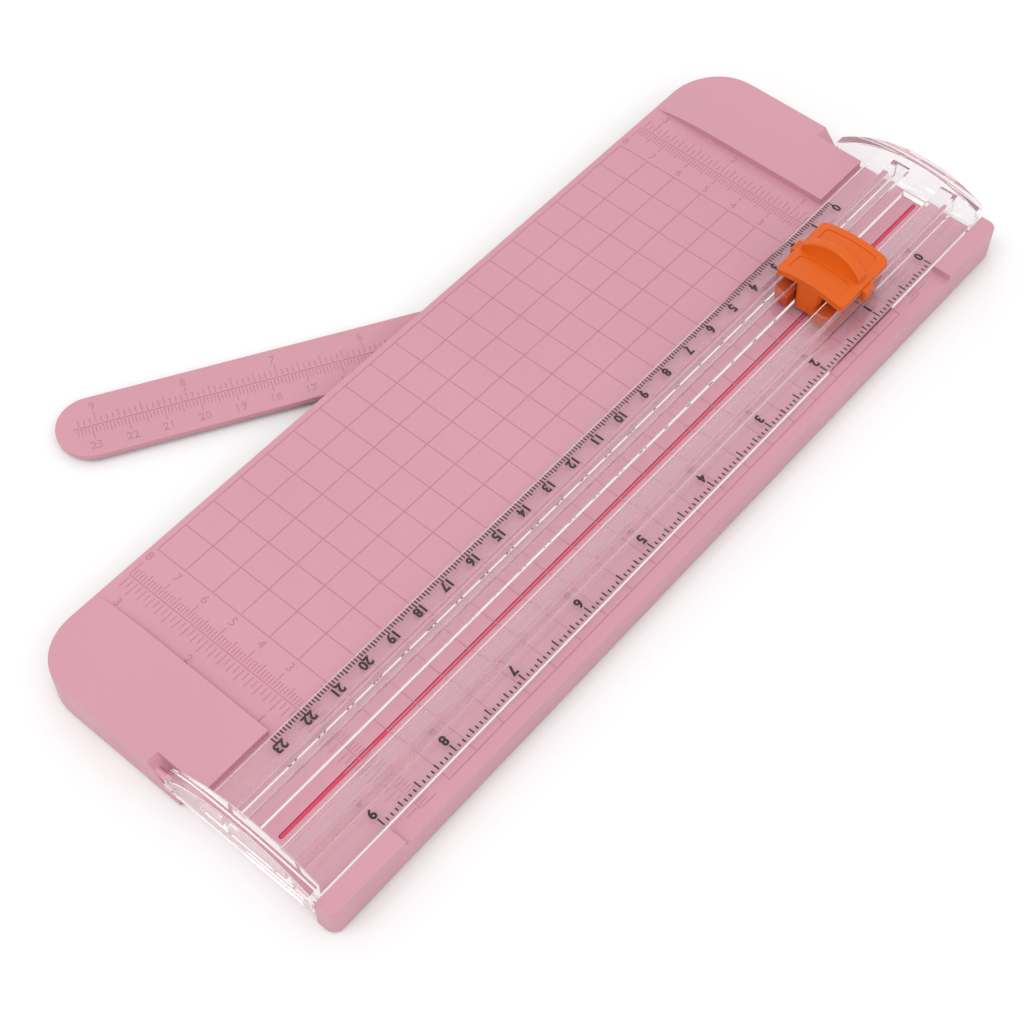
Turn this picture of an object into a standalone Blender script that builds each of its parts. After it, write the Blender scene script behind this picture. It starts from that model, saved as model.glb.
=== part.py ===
"""Sliding-blade paper trimmer with a hinged clear rail and a swing-out ruler.

X runs along the cut, from the scale's zero end (-X) to its far end (+X). Y = 0 is the cutting line:
the paper mat lies at -Y and the rail's inch flange at +Y. Z = 0 is the table, under the rubber feet.
"""

from math import cos, pi, radians, sin, sqrt

import bmesh
import bpy
from mathutils import Matrix, Vector

MM = 0.001
GAP = 0.3

# Base shell
BASE_HALF_LENGTH = 139.4
MAT_EDGE_Y = -82.0
RAIL_EDGE_Y = 23.8
BASE_BOTTOM_Z = 0.8
MAT_Z = 9.4
BLOCK_TOP_Z = 11.6
BLOCK_INNER_X = 114.4
MAT_CORNER_R = 16.0
RAIL_CORNER_R = 3.0
WALL = 2.0
END_WALL_X = 137.7
END_WALL_Y = (-27.4, 18.2)
RAIL_BED_Y = (-21.0, 18.2)
EDGE_ROUND_Y = -60.0
TOP_EDGE_BEVEL = 1.0
CAVITY_X = 132.8
CAVITY_CORNER_Y = -39.0
CEILING_Z = 7.4
CUT_BEAM_CEILING_Z = 5.4
RULER_BAY_TOP_Z = 4.6
RULER_BAY_Y = -7.2
RULER_SLOT_X = (-118.0, 113.0)
RIB = 1.2
RIB_PITCH = 27.5
POCKET_X = {-1: 134.8, 1: 135.7}
POCKET_FLOOR_Z = 5.4
POCKET_RAMP_Y = (-37.0, -31.6)

# Cutting strip
STRIP_X = (-132.2, 132.0)
STRIP_HALF_WIDTH = 0.65
STRIP_TOP_Z = 9.3
STRIP_DEPTH = 1.4

# Rubber feet
FOOT_R = 5.0
FOOT_TOP_Z = 1.8
FOOT_BOSS_R = 7.0
FOOT_PLACES = ((-126.0, 13.0), (126.0, 13.0), (-126.0, -70.0), (126.0, -70.0), (0.0, 0.0))

# Clear rail
FLANGE_Y = (-19.2, 17.8)
FLANGE_Z = (10.2, 12.1)
CHANNEL_OUTER_Y = 11.1
CHANNEL_WALL = 1.5
LIP_INNER_Y = 5.3
LIP_THICKNESS = 1.5
RAIL_TOP_Z = 18.6
BLADE_SLOT_Y = 4.3
BAR_X = {-1: (135.2, 138.8), 1: (136.5, 140.1)}
BAR_Y = (-30.5, 17.8)
BAR_BOTTOM_Z = 6.9
ARCH_Y = -3.4
ARCH_TOP_Z = 21.8
ARCH_R = 44.0

# Rail hinge
HINGE_X = 138.3
HINGE_Z = 8.4
HINGE_PIN_R = 1.0
HINGE_BORE_R = 1.3
HOOK_R = 2.1
HOOK_WIDTH = 2.6
HOOK_MOUTH = 1.7

# Swing-out ruler
PIVOT_X = -105.0
PIVOT_Y = -19.0
RULER_HALF_WIDTH = 10.15
RULER_REACH = 221.0
RULER_Z = (1.6, 3.6)
RULER_REST_DEG = -30.5
RULER_HOLE_R = 2.3
COUNTERBORE_R = 4.6
COUNTERBORE_Z = 2.75
PIVOT_BOSS_R = 5.4
PIVOT_BOSS_Z = 4.6

# Cutter, whose x values are measured from the carriage's centre
CUTTER_X = -88.1
STEM_CENTRE_X = 1.3
PLATE_X = (-11.5, 11.7)
PLATE_HALF_WIDTH = 11.2
PLATE_BOTTOM_Z = 19.4
PLATE_EDGE_Z = 21.4
PLATE_CENTRE_Z = 23.2
PLATE_THICKNESS = 1.7
PLATE_CORNER_R = 1.6
SKIRT_WALL = 1.0
FIN_BACK_X = -1.7
FIN_FRONT_X = 2.0
FIN_FOOT_BULGE = 1.2
FIN_TOP_HOLLOW = 0.9
FIN_HALF_WIDTH = 9.8
FIN_END_Z = 24.0
FIN_TOP_Z = 27.8
STEM_X = (-8.5, 11.6)
STEM_HALF_WIDTH = 4.0
STEM_WALL = 1.0
STEM_CHAMFER = 1.6
STEM_BOTTOM_Z = 10.8
STEM_CEILING_Z = 21.5
CLIP_HALF_LENGTH = 2.0
CLIP_INNER_Y = 11.4
CLIP_OUTER_Y = 12.8
CLIP_BOTTOM_Z = 16.6
CLIP_TOP_Z = 20.6
SHOE_X = (-12.0, 14.6)
SHOE_Z = (12.4, 16.8)
CROSS_BAR_X = 6.4
CROSS_BAR_HALF = 1.7
CROSS_BAR_TOP_Z = 13.9
PRESS_TRAVEL = 0.6
HOLDER_HALF_LENGTH = 3.6
HOLDER_HALF_WIDTH = 2.6
HOLDER_BOTTOM_Z = 11.2
BLADE_HALF_LENGTH = 4.4
BLADE_HALF_THICKNESS = 0.2
BLADE_TIP_HALF = 0.5
BLADE_TIP_Z = 10.02
BLADE_SHOULDER_Z = 13.2
BLADE_TOP_Z = 17.0
BLADE_PIN_Z = 14.8
BLADE_PIN_R = 0.5
SPRING_R = 1.75
SPRING_WIRE_R = 0.25
SPRING_TURNS = 6

PINK = (0.72, 0.36, 0.43)
ORANGE = (0.85, 0.16, 0.02)


# Scene helpers

def clear_scene():
    for obj in list(bpy.data.objects):
        bpy.data.objects.remove(obj, do_unlink=True)


def make_material(name, colour, roughness, metallic=0.0, transmission=0.0):
    material = bpy.data.materials.new(name)
    material.use_nodes = True
    shader = material.node_tree.nodes["Principled BSDF"]
    shader.inputs["Base Color"].default_value = (*colour, 1.0)
    shader.inputs["Roughness"].default_value = roughness
    shader.inputs["Metallic"].default_value = metallic
    shader.inputs["Transmission Weight"].default_value = transmission
    return material


def add_object(name, bm, material=None, origin=(0.0, 0.0, 0.0)):
    """An object whose mesh is given in millimetres, with its origin moved to the given point."""
    bm.transform(Matrix.Translation(-Vector(origin)))
    bm.transform(Matrix.Scale(MM, 4))
    bmesh.ops.recalc_face_normals(bm, faces=bm.faces)
    mesh = bpy.data.meshes.new(name)
    bm.to_mesh(mesh)
    bm.free()
    obj = bpy.data.objects.new(name, mesh)
    obj.location = Vector(origin) * MM
    bpy.context.scene.collection.objects.link(obj)
    if material:
        mesh.materials.append(material)
    return obj


def combine(target, bm, operation):
    """Cuts the mesh from the target, or joins it on, with an exact Boolean."""
    tool = add_object(target.name + "_tool", bm)
    tool.hide_render = True
    tool.display_type = "WIRE"
    modifier = target.modifiers.new(operation.title(), "BOOLEAN")
    modifier.operation = operation
    modifier.object = tool
    modifier.solver = "EXACT"


def cut(target, bm):
    combine(target, bm, "DIFFERENCE")


def join(target, bm):
    combine(target, bm, "UNION")


def bevel(target, width, segments=2, angle=50):
    modifier = target.modifiers.new("Bevel", "BEVEL")
    modifier.width = width * MM
    modifier.segments = segments
    modifier.limit_method = "ANGLE"
    modifier.angle_limit = radians(angle)


def smooth(target, angle=35):
    target.data.shade_smooth()
    target.data.set_sharp_from_angle(angle=radians(angle))


# Mesh helpers, all in millimetres

def prism(points, axis, low, high, bm=None):
    """A closed prism: 2D points in the plane across the axis, extruded from low to high along it."""
    bm = bm or bmesh.new()
    place = {
        "X": lambda a, b, c: (c, a, b),
        "Y": lambda a, b, c: (a, c, b),
        "Z": lambda a, b, c: (a, b, c),
    }[axis]
    bottom = [bm.verts.new(place(a, b, low)) for a, b in points]
    top = [bm.verts.new(place(a, b, high)) for a, b in points]
    bm.faces.new(bottom)
    bm.faces.new(top)
    for i in range(len(points)):
        j = (i + 1) % len(points)
        bm.faces.new((bottom[i], bottom[j], top[j], top[i]))
    return bm


def box(x, y, z, bm=None):
    points = ((x[0], y[0]), (x[1], y[0]), (x[1], y[1]), (x[0], y[1]))
    return prism(points, "Z", z[0], z[1], bm)


def arc(centre, radius, start, end, steps):
    """Points on a circular arc, with its angles in degrees."""
    angles = [radians(start + (end - start) * i / steps) for i in range(steps + 1)]
    return [(centre[0] + radius * cos(a), centre[1] + radius * sin(a)) for a in angles]


def disc(centre, radius, low, high, sides=32, axis="Z", bm=None):
    turn = pi / sides
    points = [
        (centre[0] + radius * cos(2 * pi * i / sides + turn), centre[1] + radius * sin(2 * pi * i / sides + turn))
        for i in range(sides)
    ]
    return prism(points, axis, low, high, bm)


def lathe(profile, centre, sides=32):
    """A solid turned about a vertical axis: the profile is a closed loop of (radius, z) points off the axis."""
    bm = bmesh.new()
    rings = []
    for i in range(sides):
        angle = 2 * pi * i / sides
        ring = [bm.verts.new((centre[0] + r * cos(angle), centre[1] + r * sin(angle), z)) for r, z in profile]
        rings.append(ring)
    for i in range(sides):
        first, second = rings[i], rings[(i + 1) % sides]
        for k in range(len(profile)):
            m = (k + 1) % len(profile)
            bm.faces.new((first[k], first[m], second[m], second[k]))
    return bm


# Base

def base_outline():
    """The base seen from above, with rounded corners and end walls set back between them."""
    x = BASE_HALF_LENGTH
    r = MAT_CORNER_R
    s = RAIL_CORNER_R
    outline = arc((-x + r, MAT_EDGE_Y + r), r, 180, 270, 8)
    outline += arc((x - r, MAT_EDGE_Y + r), r, 270, 360, 8)
    outline += [(x, END_WALL_Y[0]), (END_WALL_X, END_WALL_Y[0]), (END_WALL_X, END_WALL_Y[1]), (x, END_WALL_Y[1])]
    outline += arc((x - s, RAIL_EDGE_Y - s), s, 0, 90, 4)
    outline += arc((-x + s, RAIL_EDGE_Y - s), s, 90, 180, 4)
    outline += [(-x, END_WALL_Y[1]), (-END_WALL_X, END_WALL_Y[1]), (-END_WALL_X, END_WALL_Y[0]), (-x, END_WALL_Y[0])]
    return outline


def above_the_block_curve():
    """The space over the base, whose top falls in a soft curve to the mat's own level at the mat's edge."""
    drop = BLOCK_TOP_Z - MAT_Z
    run = MAT_EDGE_Y - EDGE_ROUND_Y
    radius = (run * run + drop * drop) / (2 * drop)
    curve = []
    for i in range(9):
        y = EDGE_ROUND_Y + run * i / 8
        curve.append((y, BLOCK_TOP_Z - radius + sqrt(radius * radius - (y - EDGE_ROUND_Y) ** 2)))
    outside = (MAT_EDGE_Y - 5.0, MAT_Z - 0.5), (MAT_EDGE_Y - 5.0, BLOCK_TOP_Z + 5.0), (EDGE_ROUND_Y, BLOCK_TOP_Z + 5.0)
    return prism(curve + list(outside), "X", -BASE_HALF_LENGTH - 5.0, BASE_HALF_LENGTH + 5.0)


def end_pocket(side):
    """Room at one end for the rail's end bar, with a ramp down into it on the mat's side."""
    top = BLOCK_TOP_Z + 5.0
    slope = (POCKET_RAMP_Y[0] - POCKET_RAMP_Y[1]) / (BLOCK_TOP_Z - POCKET_FLOOR_Z)
    ramp_top_y = POCKET_RAMP_Y[0] + slope * (top - BLOCK_TOP_Z)
    profile = (
        (ramp_top_y, top),
        (POCKET_RAMP_Y[1], POCKET_FLOOR_Z),
        (RAIL_BED_Y[1], POCKET_FLOOR_Z),
        (RAIL_BED_Y[1], top),
    )
    low, high = sorted((side * POCKET_X[side], side * (BASE_HALF_LENGTH + 5.0)))
    return prism(profile, "X", low, high)


def ruler_bay():
    """The lower part of the hollow, kept free of ribs so that the ruler can fold away under the mat."""
    r = MAT_CORNER_R - WALL
    x = BASE_HALF_LENGTH - WALL
    y = MAT_EDGE_Y + WALL
    outline = arc((-x + r, y + r), r, 180, 270, 6) + arc((x - r, y + r), r, 270, 360, 6)
    outline += [(x, CAVITY_CORNER_Y), (CAVITY_X, CAVITY_CORNER_Y), (CAVITY_X, RULER_BAY_Y)]
    outline += [(-CAVITY_X, RULER_BAY_Y), (-CAVITY_X, CAVITY_CORNER_Y), (-x, CAVITY_CORNER_Y)]
    return prism(outline, "Z", -1.0, RULER_BAY_TOP_Z)


def rib_cells():
    """The hollow's cells: what is left between them is the lattice of ribs under the mat."""
    bm = bmesh.new()
    columns = round(2 * CAVITY_X / RIB_PITCH)
    pitch = (2 * CAVITY_X + RIB) / columns
    mat_rows = 3
    row_low = MAT_EDGE_Y + WALL
    row_pitch = (RULER_BAY_Y - row_low + RIB) / mat_rows
    for column in range(columns):
        left = -CAVITY_X + column * pitch
        x = (left, left + pitch - RIB)
        for row in range(mat_rows):
            corner = row == 0 and column in (0, columns - 1)
            if not corner:
                y = (row_low + row * row_pitch, row_low + (row + 1) * row_pitch - RIB)
                box(x, y, (RULER_BAY_TOP_Z - 1.0, CEILING_Z), bm)
        box(x, (RULER_BAY_Y + RIB, 6.0), (-1.0, CUT_BEAM_CEILING_Z), bm)
        box(x, (6.0 + RIB, RAIL_EDGE_Y - WALL), (-1.0, CEILING_Z), bm)
    return bm


def build_base(material):
    base = add_object("base_shell", prism(base_outline(), "Z", BASE_BOTTOM_Z, BLOCK_TOP_Z), material)
    cut(base, above_the_block_curve())
    top = BLOCK_TOP_Z + 5.0
    end = BASE_HALF_LENGTH + 5.0
    cut(base, box((-BLOCK_INNER_X, BLOCK_INNER_X), (MAT_EDGE_Y - 5.0, RAIL_EDGE_Y + 5.0), (MAT_Z, top)))
    cut(base, box((-end, end), RAIL_BED_Y, (MAT_Z, top)))
    cut(base, end_pocket(-1))
    cut(base, end_pocket(1))
    bevel(base, TOP_EDGE_BEVEL, 2, 60)
    cut(base, ruler_bay())
    cut(base, rib_cells())
    cut(base, box(RULER_SLOT_X, (MAT_EDGE_Y - 5.0, MAT_EDGE_Y + WALL + 1.0), (-1.0, RULER_BAY_TOP_Z)))
    for place in FOOT_PLACES:
        join(base, disc(place, FOOT_BOSS_R, BASE_BOTTOM_Z + 0.01, CEILING_Z + 0.5))
        cut(base, disc(place, FOOT_R + GAP, -1.0, FOOT_TOP_Z + GAP))
    pivot = (PIVOT_X, PIVOT_Y)
    join(base, disc(pivot, PIVOT_BOSS_R, PIVOT_BOSS_Z, CEILING_Z + 0.5))
    cut(base, disc(pivot, 1.5, -1.0, CEILING_Z + 0.6, 16))
    groove = STRIP_HALF_WIDTH + GAP
    cut(base, box((STRIP_X[0] - GAP, STRIP_X[1] + GAP), (-groove, groove), (STRIP_TOP_Z - STRIP_DEPTH - GAP, top)))
    for low, high in ((POCKET_RAMP_Y[0] - 0.5, BAR_Y[0] + HOOK_WIDTH), (BAR_Y[1] - HOOK_WIDTH, RAIL_BED_Y[1] + 1.0)):
        join(base, disc((HINGE_X, HINGE_Z), HINGE_PIN_R, low, high, 24, "Y"))
    smooth(base)


def build_strip(material):
    size = (-STRIP_HALF_WIDTH, STRIP_HALF_WIDTH)
    strip = add_object("cutting_strip", box(STRIP_X, size, (STRIP_TOP_Z - STRIP_DEPTH, STRIP_TOP_Z)), material)
    bevel(strip, 0.12, 1)


def build_feet(material):
    for number, place in enumerate(FOOT_PLACES, 1):
        bm = disc(place, FOOT_R, 0.0, FOOT_TOP_Z)
        foot = add_object(f"rubber_foot_{number}", bm, material, (*place, 0.0))
        bevel(foot, 0.4, 1, 60)
        smooth(foot)


# Rail

def channel_half(side):
    """One flange with its channel wall and lip, in the plane across the rail."""
    flange_edge = FLANGE_Y[1] if side > 0 else -FLANGE_Y[0]
    wall_inner = CHANNEL_OUTER_Y - CHANNEL_WALL
    lip_bottom = RAIL_TOP_Z - LIP_THICKNESS
    points = (
        (BLADE_SLOT_Y, FLANGE_Z[0]),
        (flange_edge, FLANGE_Z[0]),
        (flange_edge, FLANGE_Z[1]),
        (CHANNEL_OUTER_Y, FLANGE_Z[1]),
        (CHANNEL_OUTER_Y, RAIL_TOP_Z - 0.4),
        (CHANNEL_OUTER_Y - 0.4, RAIL_TOP_Z),
        (LIP_INNER_Y, RAIL_TOP_Z),
        (LIP_INNER_Y, lip_bottom),
        (wall_inner, lip_bottom),
        (wall_inner, FLANGE_Z[1]),
        (BLADE_SLOT_Y, FLANGE_Z[1]),
    )
    return prism([(side * y, z) for y, z in points], "X", -BAR_X[-1][0] - 1.0, BAR_X[1][0] + 1.0)


def end_bar(side):
    """An arched bar across one end of the rail."""
    top = []
    steps = 18
    for i in range(steps + 1):
        y = BAR_Y[1] + (BAR_Y[0] - BAR_Y[1]) * i / steps
        top.append((y, ARCH_TOP_Z - ARCH_R + sqrt(ARCH_R * ARCH_R - (y - ARCH_Y) ** 2)))
    low, high = sorted(side * x for x in BAR_X[side])
    bm = prism([(BAR_Y[0], BAR_BOTTOM_Z), (BAR_Y[1], BAR_BOTTOM_Z)] + top, "X", low, high)
    bmesh.ops.recalc_face_normals(bm, faces=bm.faces)
    sharp = [edge for edge in bm.edges if edge.calc_face_angle() > radians(60)]
    bmesh.ops.bevel(bm, geom=sharp, offset=0.35, segments=1, affect="EDGES")
    return bm


def build_rail(material):
    rail = add_object("clear_rail", end_bar(1), material, (HINGE_X, 0.0, HINGE_Z))
    join(rail, end_bar(-1))
    join(rail, channel_half(-1))
    join(rail, channel_half(1))
    half_mouth = HOOK_MOUTH / 2
    for low, high in ((BAR_Y[0], BAR_Y[0] + HOOK_WIDTH), (BAR_Y[1] - HOOK_WIDTH, BAR_Y[1])):
        hinge = (HINGE_X, HINGE_Z)
        join(rail, disc(hinge, HOOK_R, low + 0.05, high - 0.05, 24, "Y"))
        cut(rail, disc(hinge, HINGE_BORE_R, low - 0.6, high + 0.6, 24, "Y"))
        cut(rail, box((HINGE_X - half_mouth, HINGE_X + half_mouth), (low - 0.6, high + 0.6), (4.0, HINGE_Z)))
    smooth(rail)


# Swing-out ruler, drawn along +X and then turned about its pivot

def build_ruler(material):
    outline = arc((0.0, 0.0), RULER_HALF_WIDTH, 90, 270, 16)
    outline += arc((RULER_REACH - RULER_HALF_WIDTH, 0.0), RULER_HALF_WIDTH, -90, 90, 16)
    ruler = add_object("swing_ruler", prism(outline, "Z", *RULER_Z), material)
    bevel(ruler, 0.3, 1)
    cut(ruler, disc((0.0, 0.0), RULER_HOLE_R, 0.0, 5.0, 24))
    cut(ruler, disc((0.0, 0.0), COUNTERBORE_R, 0.0, COUNTERBORE_Z, 24))
    ruler.location = (PIVOT_X * MM, PIVOT_Y * MM, 0.0)
    ruler.rotation_euler.z = radians(RULER_REST_DEG)
    for tool in (modifier.object for modifier in ruler.modifiers if modifier.type == "BOOLEAN"):
        tool.parent = ruler
    smooth(ruler)


def build_ruler_pivot(steel):
    """The shouldered screw under the ruler, with a washer below the ruler and one above it."""
    pivot = (PIVOT_X, PIVOT_Y)
    head_top = COUNTERBORE_Z - 1.0
    screw = add_object("pivot_screw", disc(pivot, 3.8, 0.9, head_top, 24), steel, (*pivot, 0.0))
    bevel(screw, 0.2, 1, 60)
    join(screw, disc(pivot, 2.1, head_top - 0.3, PIVOT_BOSS_Z - GAP, 24))
    join(screw, disc(pivot, 1.15, head_top, CEILING_Z, 12))
    for along, across in ((2.2, 0.4), (0.4, 2.2)):
        x = (PIVOT_X - along, PIVOT_X + along)
        y = (PIVOT_Y - across, PIVOT_Y + across)
        cut(screw, box(x, y, (0.0, 1.4)))
    smooth(screw)
    low = head_top + GAP
    washer = lathe(((2.4, low), (4.2, low), (4.2, low + 0.4), (2.4, low + 0.4)), pivot)
    smooth(add_object("pivot_washer", washer, steel, (*pivot, 0.0)))
    low = RULER_Z[1] + GAP
    washer = lathe(((2.4, low), (5.0, low), (5.0, low + 0.4), (2.4, low + 0.4)), pivot)
    smooth(add_object("friction_washer", washer, steel, (*pivot, 0.0)))


# Cutter

def crown_arc(y, half, edge_z, centre_z):
    """The height at y of the arc that rises from edge_z at both ends, half away, to centre_z in the middle."""
    rise = centre_z - edge_z
    radius = (half * half + rise * rise) / (2 * rise)
    return centre_z - radius + sqrt(radius * radius - y * y)


def across(half, steps):
    return [-half + 2 * half * i / steps for i in range(steps + 1)]


def arched_band(half, top_drop, height, x, steps=14):
    """A band across the rail that follows the plate's arch: its top lies top_drop below the arch."""
    top = [(y, crown_arc(y, PLATE_HALF_WIDTH, PLATE_EDGE_Z, PLATE_CENTRE_Z) - top_drop) for y in across(half, steps)]
    bottom = [(y, z - height) for y, z in reversed(top)]
    return prism(top + bottom, "X", CUTTER_X + x[0], CUTTER_X + x[1])


def plate_outline():
    """The thumb plate seen from above, as a prism that trims its corners round."""
    low = CUTTER_X + PLATE_X[0] + PLATE_CORNER_R
    high = CUTTER_X + PLATE_X[1] - PLATE_CORNER_R
    side = PLATE_HALF_WIDTH - PLATE_CORNER_R
    outline = []
    for centre, start in (((high, side), 0), ((low, side), 90), ((low, -side), 180), ((high, -side), 270)):
        outline += arc(centre, PLATE_CORNER_R, start, start + 90, 6)
    return prism(outline, "Z", PLATE_BOTTOM_Z - 5.0, PLATE_CENTRE_Z + 5.0)


def finger_fin():
    """The fin that the finger pushes: blunt at both ends, with a front face that is scooped at the top."""
    bm = bmesh.new()
    foot_z = PLATE_EDGE_Z - 0.8
    rings = []
    for y in across(FIN_HALF_WIDTH, 16):
        share = 1 - (y / FIN_HALF_WIDTH) ** 2
        foot_x = CUTTER_X + FIN_FRONT_X + FIN_FOOT_BULGE * share
        top_x = CUTTER_X + FIN_FRONT_X - FIN_TOP_HOLLOW * share
        back_x = CUTTER_X + FIN_BACK_X
        top_z = crown_arc(y, FIN_HALF_WIDTH, FIN_END_Z, FIN_TOP_Z)
        section = ((foot_x, foot_z), (top_x, top_z), (back_x, top_z), (back_x, foot_z))
        rings.append([bm.verts.new((x, y, z)) for x, z in section])
    for first, second in zip(rings, rings[1:]):
        for k in range(4):
            m = (k + 1) % 4
            bm.faces.new((first[k], first[m], second[m], second[k]))
    bm.faces.new(rings[0])
    bm.faces.new(rings[-1])
    bmesh.ops.recalc_face_normals(bm, faces=bm.faces)
    rim = [edge for edge in bm.edges if edge.calc_face_angle() > radians(50) and edge.verts[0].co.z > foot_z + 0.1]
    bmesh.ops.bevel(bm, geom=rim, offset=0.5, segments=2, affect="EDGES", profile=0.5)
    return bm


def side_clip(side):
    """A clip that hangs from the plate's side, outside the rail's wall."""
    slope = 0.6
    profile = (
        (PLATE_HALF_WIDTH - 0.5, CLIP_TOP_Z),
        (PLATE_HALF_WIDTH - 0.5, PLATE_BOTTOM_Z + 0.02),
        (CLIP_INNER_Y, PLATE_BOTTOM_Z + 0.02),
        (CLIP_INNER_Y, CLIP_BOTTOM_Z),
        (CLIP_OUTER_Y - slope, CLIP_BOTTOM_Z),
        (CLIP_OUTER_Y, CLIP_BOTTOM_Z + slope),
        (CLIP_OUTER_Y, CLIP_TOP_Z - slope),
        (CLIP_OUTER_Y - slope, CLIP_TOP_Z),
    )
    x = (CUTTER_X - CLIP_HALF_LENGTH, CUTTER_X + CLIP_HALF_LENGTH)
    return prism([(side * y, z) for y, z in profile], "X", *x)


def stem_block(x):
    """The stem before it is hollowed, chamfered along the bottom."""
    bottom = STEM_BOTTOM_Z
    profile = (
        (-STEM_HALF_WIDTH, STEM_CEILING_Z + 0.6),
        (-STEM_HALF_WIDTH, bottom + STEM_CHAMFER),
        (-STEM_HALF_WIDTH + STEM_CHAMFER, bottom),
        (STEM_HALF_WIDTH - STEM_CHAMFER, bottom),
        (STEM_HALF_WIDTH, bottom + STEM_CHAMFER),
        (STEM_HALF_WIDTH, STEM_CEILING_Z + 0.6),
    )
    return prism(profile, "X", *x)


def build_head(material):
    height = PLATE_EDGE_Z - PLATE_BOTTOM_Z
    plate = arched_band(PLATE_HALF_WIDTH, 0.0, height, PLATE_X)
    head = add_object("cutter_head", plate, material, (CUTTER_X, 0.0, PLATE_BOTTOM_Z))
    combine(head, plate_outline(), "INTERSECT")
    bevel(head, 0.4, 2)
    hollow_x = (PLATE_X[0] + SKIRT_WALL, PLATE_X[1] - SKIRT_WALL)
    cut(head, arched_band(PLATE_HALF_WIDTH - SKIRT_WALL, PLATE_THICKNESS, height, hollow_x))
    join(head, finger_fin())
    stem_x = (CUTTER_X + STEM_X[0], CUTTER_X + STEM_X[1])
    join(head, stem_block(stem_x))
    bore = STEM_HALF_WIDTH - STEM_WALL
    inside_x = (stem_x[0] + STEM_WALL, stem_x[1] - STEM_WALL)
    cut(head, box(inside_x, (-bore, bore), (STEM_BOTTOM_Z - 1.0, STEM_CEILING_Z)))
    window_top = CROSS_BAR_TOP_Z + PRESS_TRAVEL + GAP
    for side in (-1, 1):
        middle = CUTTER_X + STEM_CENTRE_X + side * CROSS_BAR_X
        x = (middle - CROSS_BAR_HALF - GAP, middle + CROSS_BAR_HALF + GAP)
        cut(head, box(x, (-6.0, 6.0), (SHOE_Z[0] - GAP, window_top)))
        join(head, side_clip(side))
    smooth(head)


def build_shoe(material):
    """The guide shoe: two runners under the lips, closed behind, whose two cross bars carry the springs."""
    half = CHANNEL_OUTER_Y - CHANNEL_WALL - GAP
    x = (CUTTER_X + SHOE_X[0], CUTTER_X + SHOE_X[1])
    shoe = add_object("guide_shoe", box(x, (-half, half), SHOE_Z), material, (CUTTER_X, 0.0, SHOE_Z[0]))
    bevel(shoe, 0.6, 2)
    slot = STEM_HALF_WIDTH + GAP
    rear = CUTTER_X + STEM_X[0] - GAP
    front = x[1] + 5.0
    centre = CUTTER_X + STEM_CENTRE_X
    outer = CROSS_BAR_X + CROSS_BAR_HALF
    inner = CROSS_BAR_X - CROSS_BAR_HALF
    cut(shoe, box((rear, front), (-slot, slot), (CROSS_BAR_TOP_Z, SHOE_Z[1] + 3.0)))
    for low, high in ((rear, centre - outer), (centre - inner, centre + inner), (centre + outer, front)):
        cut(shoe, box((low, high), (-slot, slot), (SHOE_Z[0] - 2.0, CROSS_BAR_TOP_Z + 1.0)))
    smooth(shoe)


def build_blade(holder_material, steel):
    """The blade, pinned in the slit of its holder."""
    centre = CUTTER_X + STEM_CENTRE_X
    x = (centre - HOLDER_HALF_LENGTH, centre + HOLDER_HALF_LENGTH)
    y = (-HOLDER_HALF_WIDTH, HOLDER_HALF_WIDTH)
    origin = (centre, 0.0, BLADE_PIN_Z)
    holder = add_object("blade_holder", box(x, y, (HOLDER_BOTTOM_Z, STEM_CEILING_Z - GAP)), holder_material, origin)
    bevel(holder, 0.3, 1)
    slit = BLADE_HALF_THICKNESS + GAP
    cut(holder, box((centre - 9.0, centre + 9.0), (-slit, slit), (HOLDER_BOTTOM_Z - 1.0, BLADE_TOP_Z + GAP)))
    cut(holder, disc((centre, BLADE_PIN_Z), BLADE_PIN_R + GAP, -9.0, 9.0, 16, "Y"))

    outline = (
        (centre - BLADE_HALF_LENGTH, BLADE_TOP_Z),
        (centre - BLADE_HALF_LENGTH, BLADE_SHOULDER_Z),
        (centre - BLADE_TIP_HALF, BLADE_TIP_Z),
        (centre + BLADE_TIP_HALF, BLADE_TIP_Z),
        (centre + BLADE_HALF_LENGTH, BLADE_SHOULDER_Z),
        (centre + BLADE_HALF_LENGTH, BLADE_TOP_Z),
    )
    blade = add_object("blade", prism(outline, "Y", -BLADE_HALF_THICKNESS, BLADE_HALF_THICKNESS), steel, origin)
    cut(blade, disc((centre, BLADE_PIN_Z), BLADE_PIN_R + GAP, -1.0, 1.0, 16, "Y"))

    pin = disc((centre, BLADE_PIN_Z), BLADE_PIN_R, y[0] + 0.1, y[1] - 0.1, 16, "Y")
    smooth(add_object("blade_pin", pin, steel, origin))


def build_spring(name, x, steel):
    """A compression spring as a curve with a round wire, its helix worked out turn by turn."""
    low = CROSS_BAR_TOP_Z + GAP + SPRING_WIRE_R
    high = STEM_CEILING_Z - GAP - SPRING_WIRE_R
    steps = SPRING_TURNS * 12
    curve = bpy.data.curves.new(name, "CURVE")
    curve.dimensions = "3D"
    curve.bevel_depth = SPRING_WIRE_R * MM
    curve.bevel_resolution = 1
    curve.use_fill_caps = True
    spline = curve.splines.new("POLY")
    spline.points.add(steps)
    for i, point in enumerate(spline.points):
        angle = 2 * pi * SPRING_TURNS * i / steps
        z = low + (high - low) * i / steps
        point.co = (SPRING_R * cos(angle) * MM, SPRING_R * sin(angle) * MM, (z - low) * MM, 1.0)
    curve.materials.append(steel)
    spring = bpy.data.objects.new(name, curve)
    spring.location = (x * MM, 0.0, low * MM)
    bpy.context.scene.collection.objects.link(spring)


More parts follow.
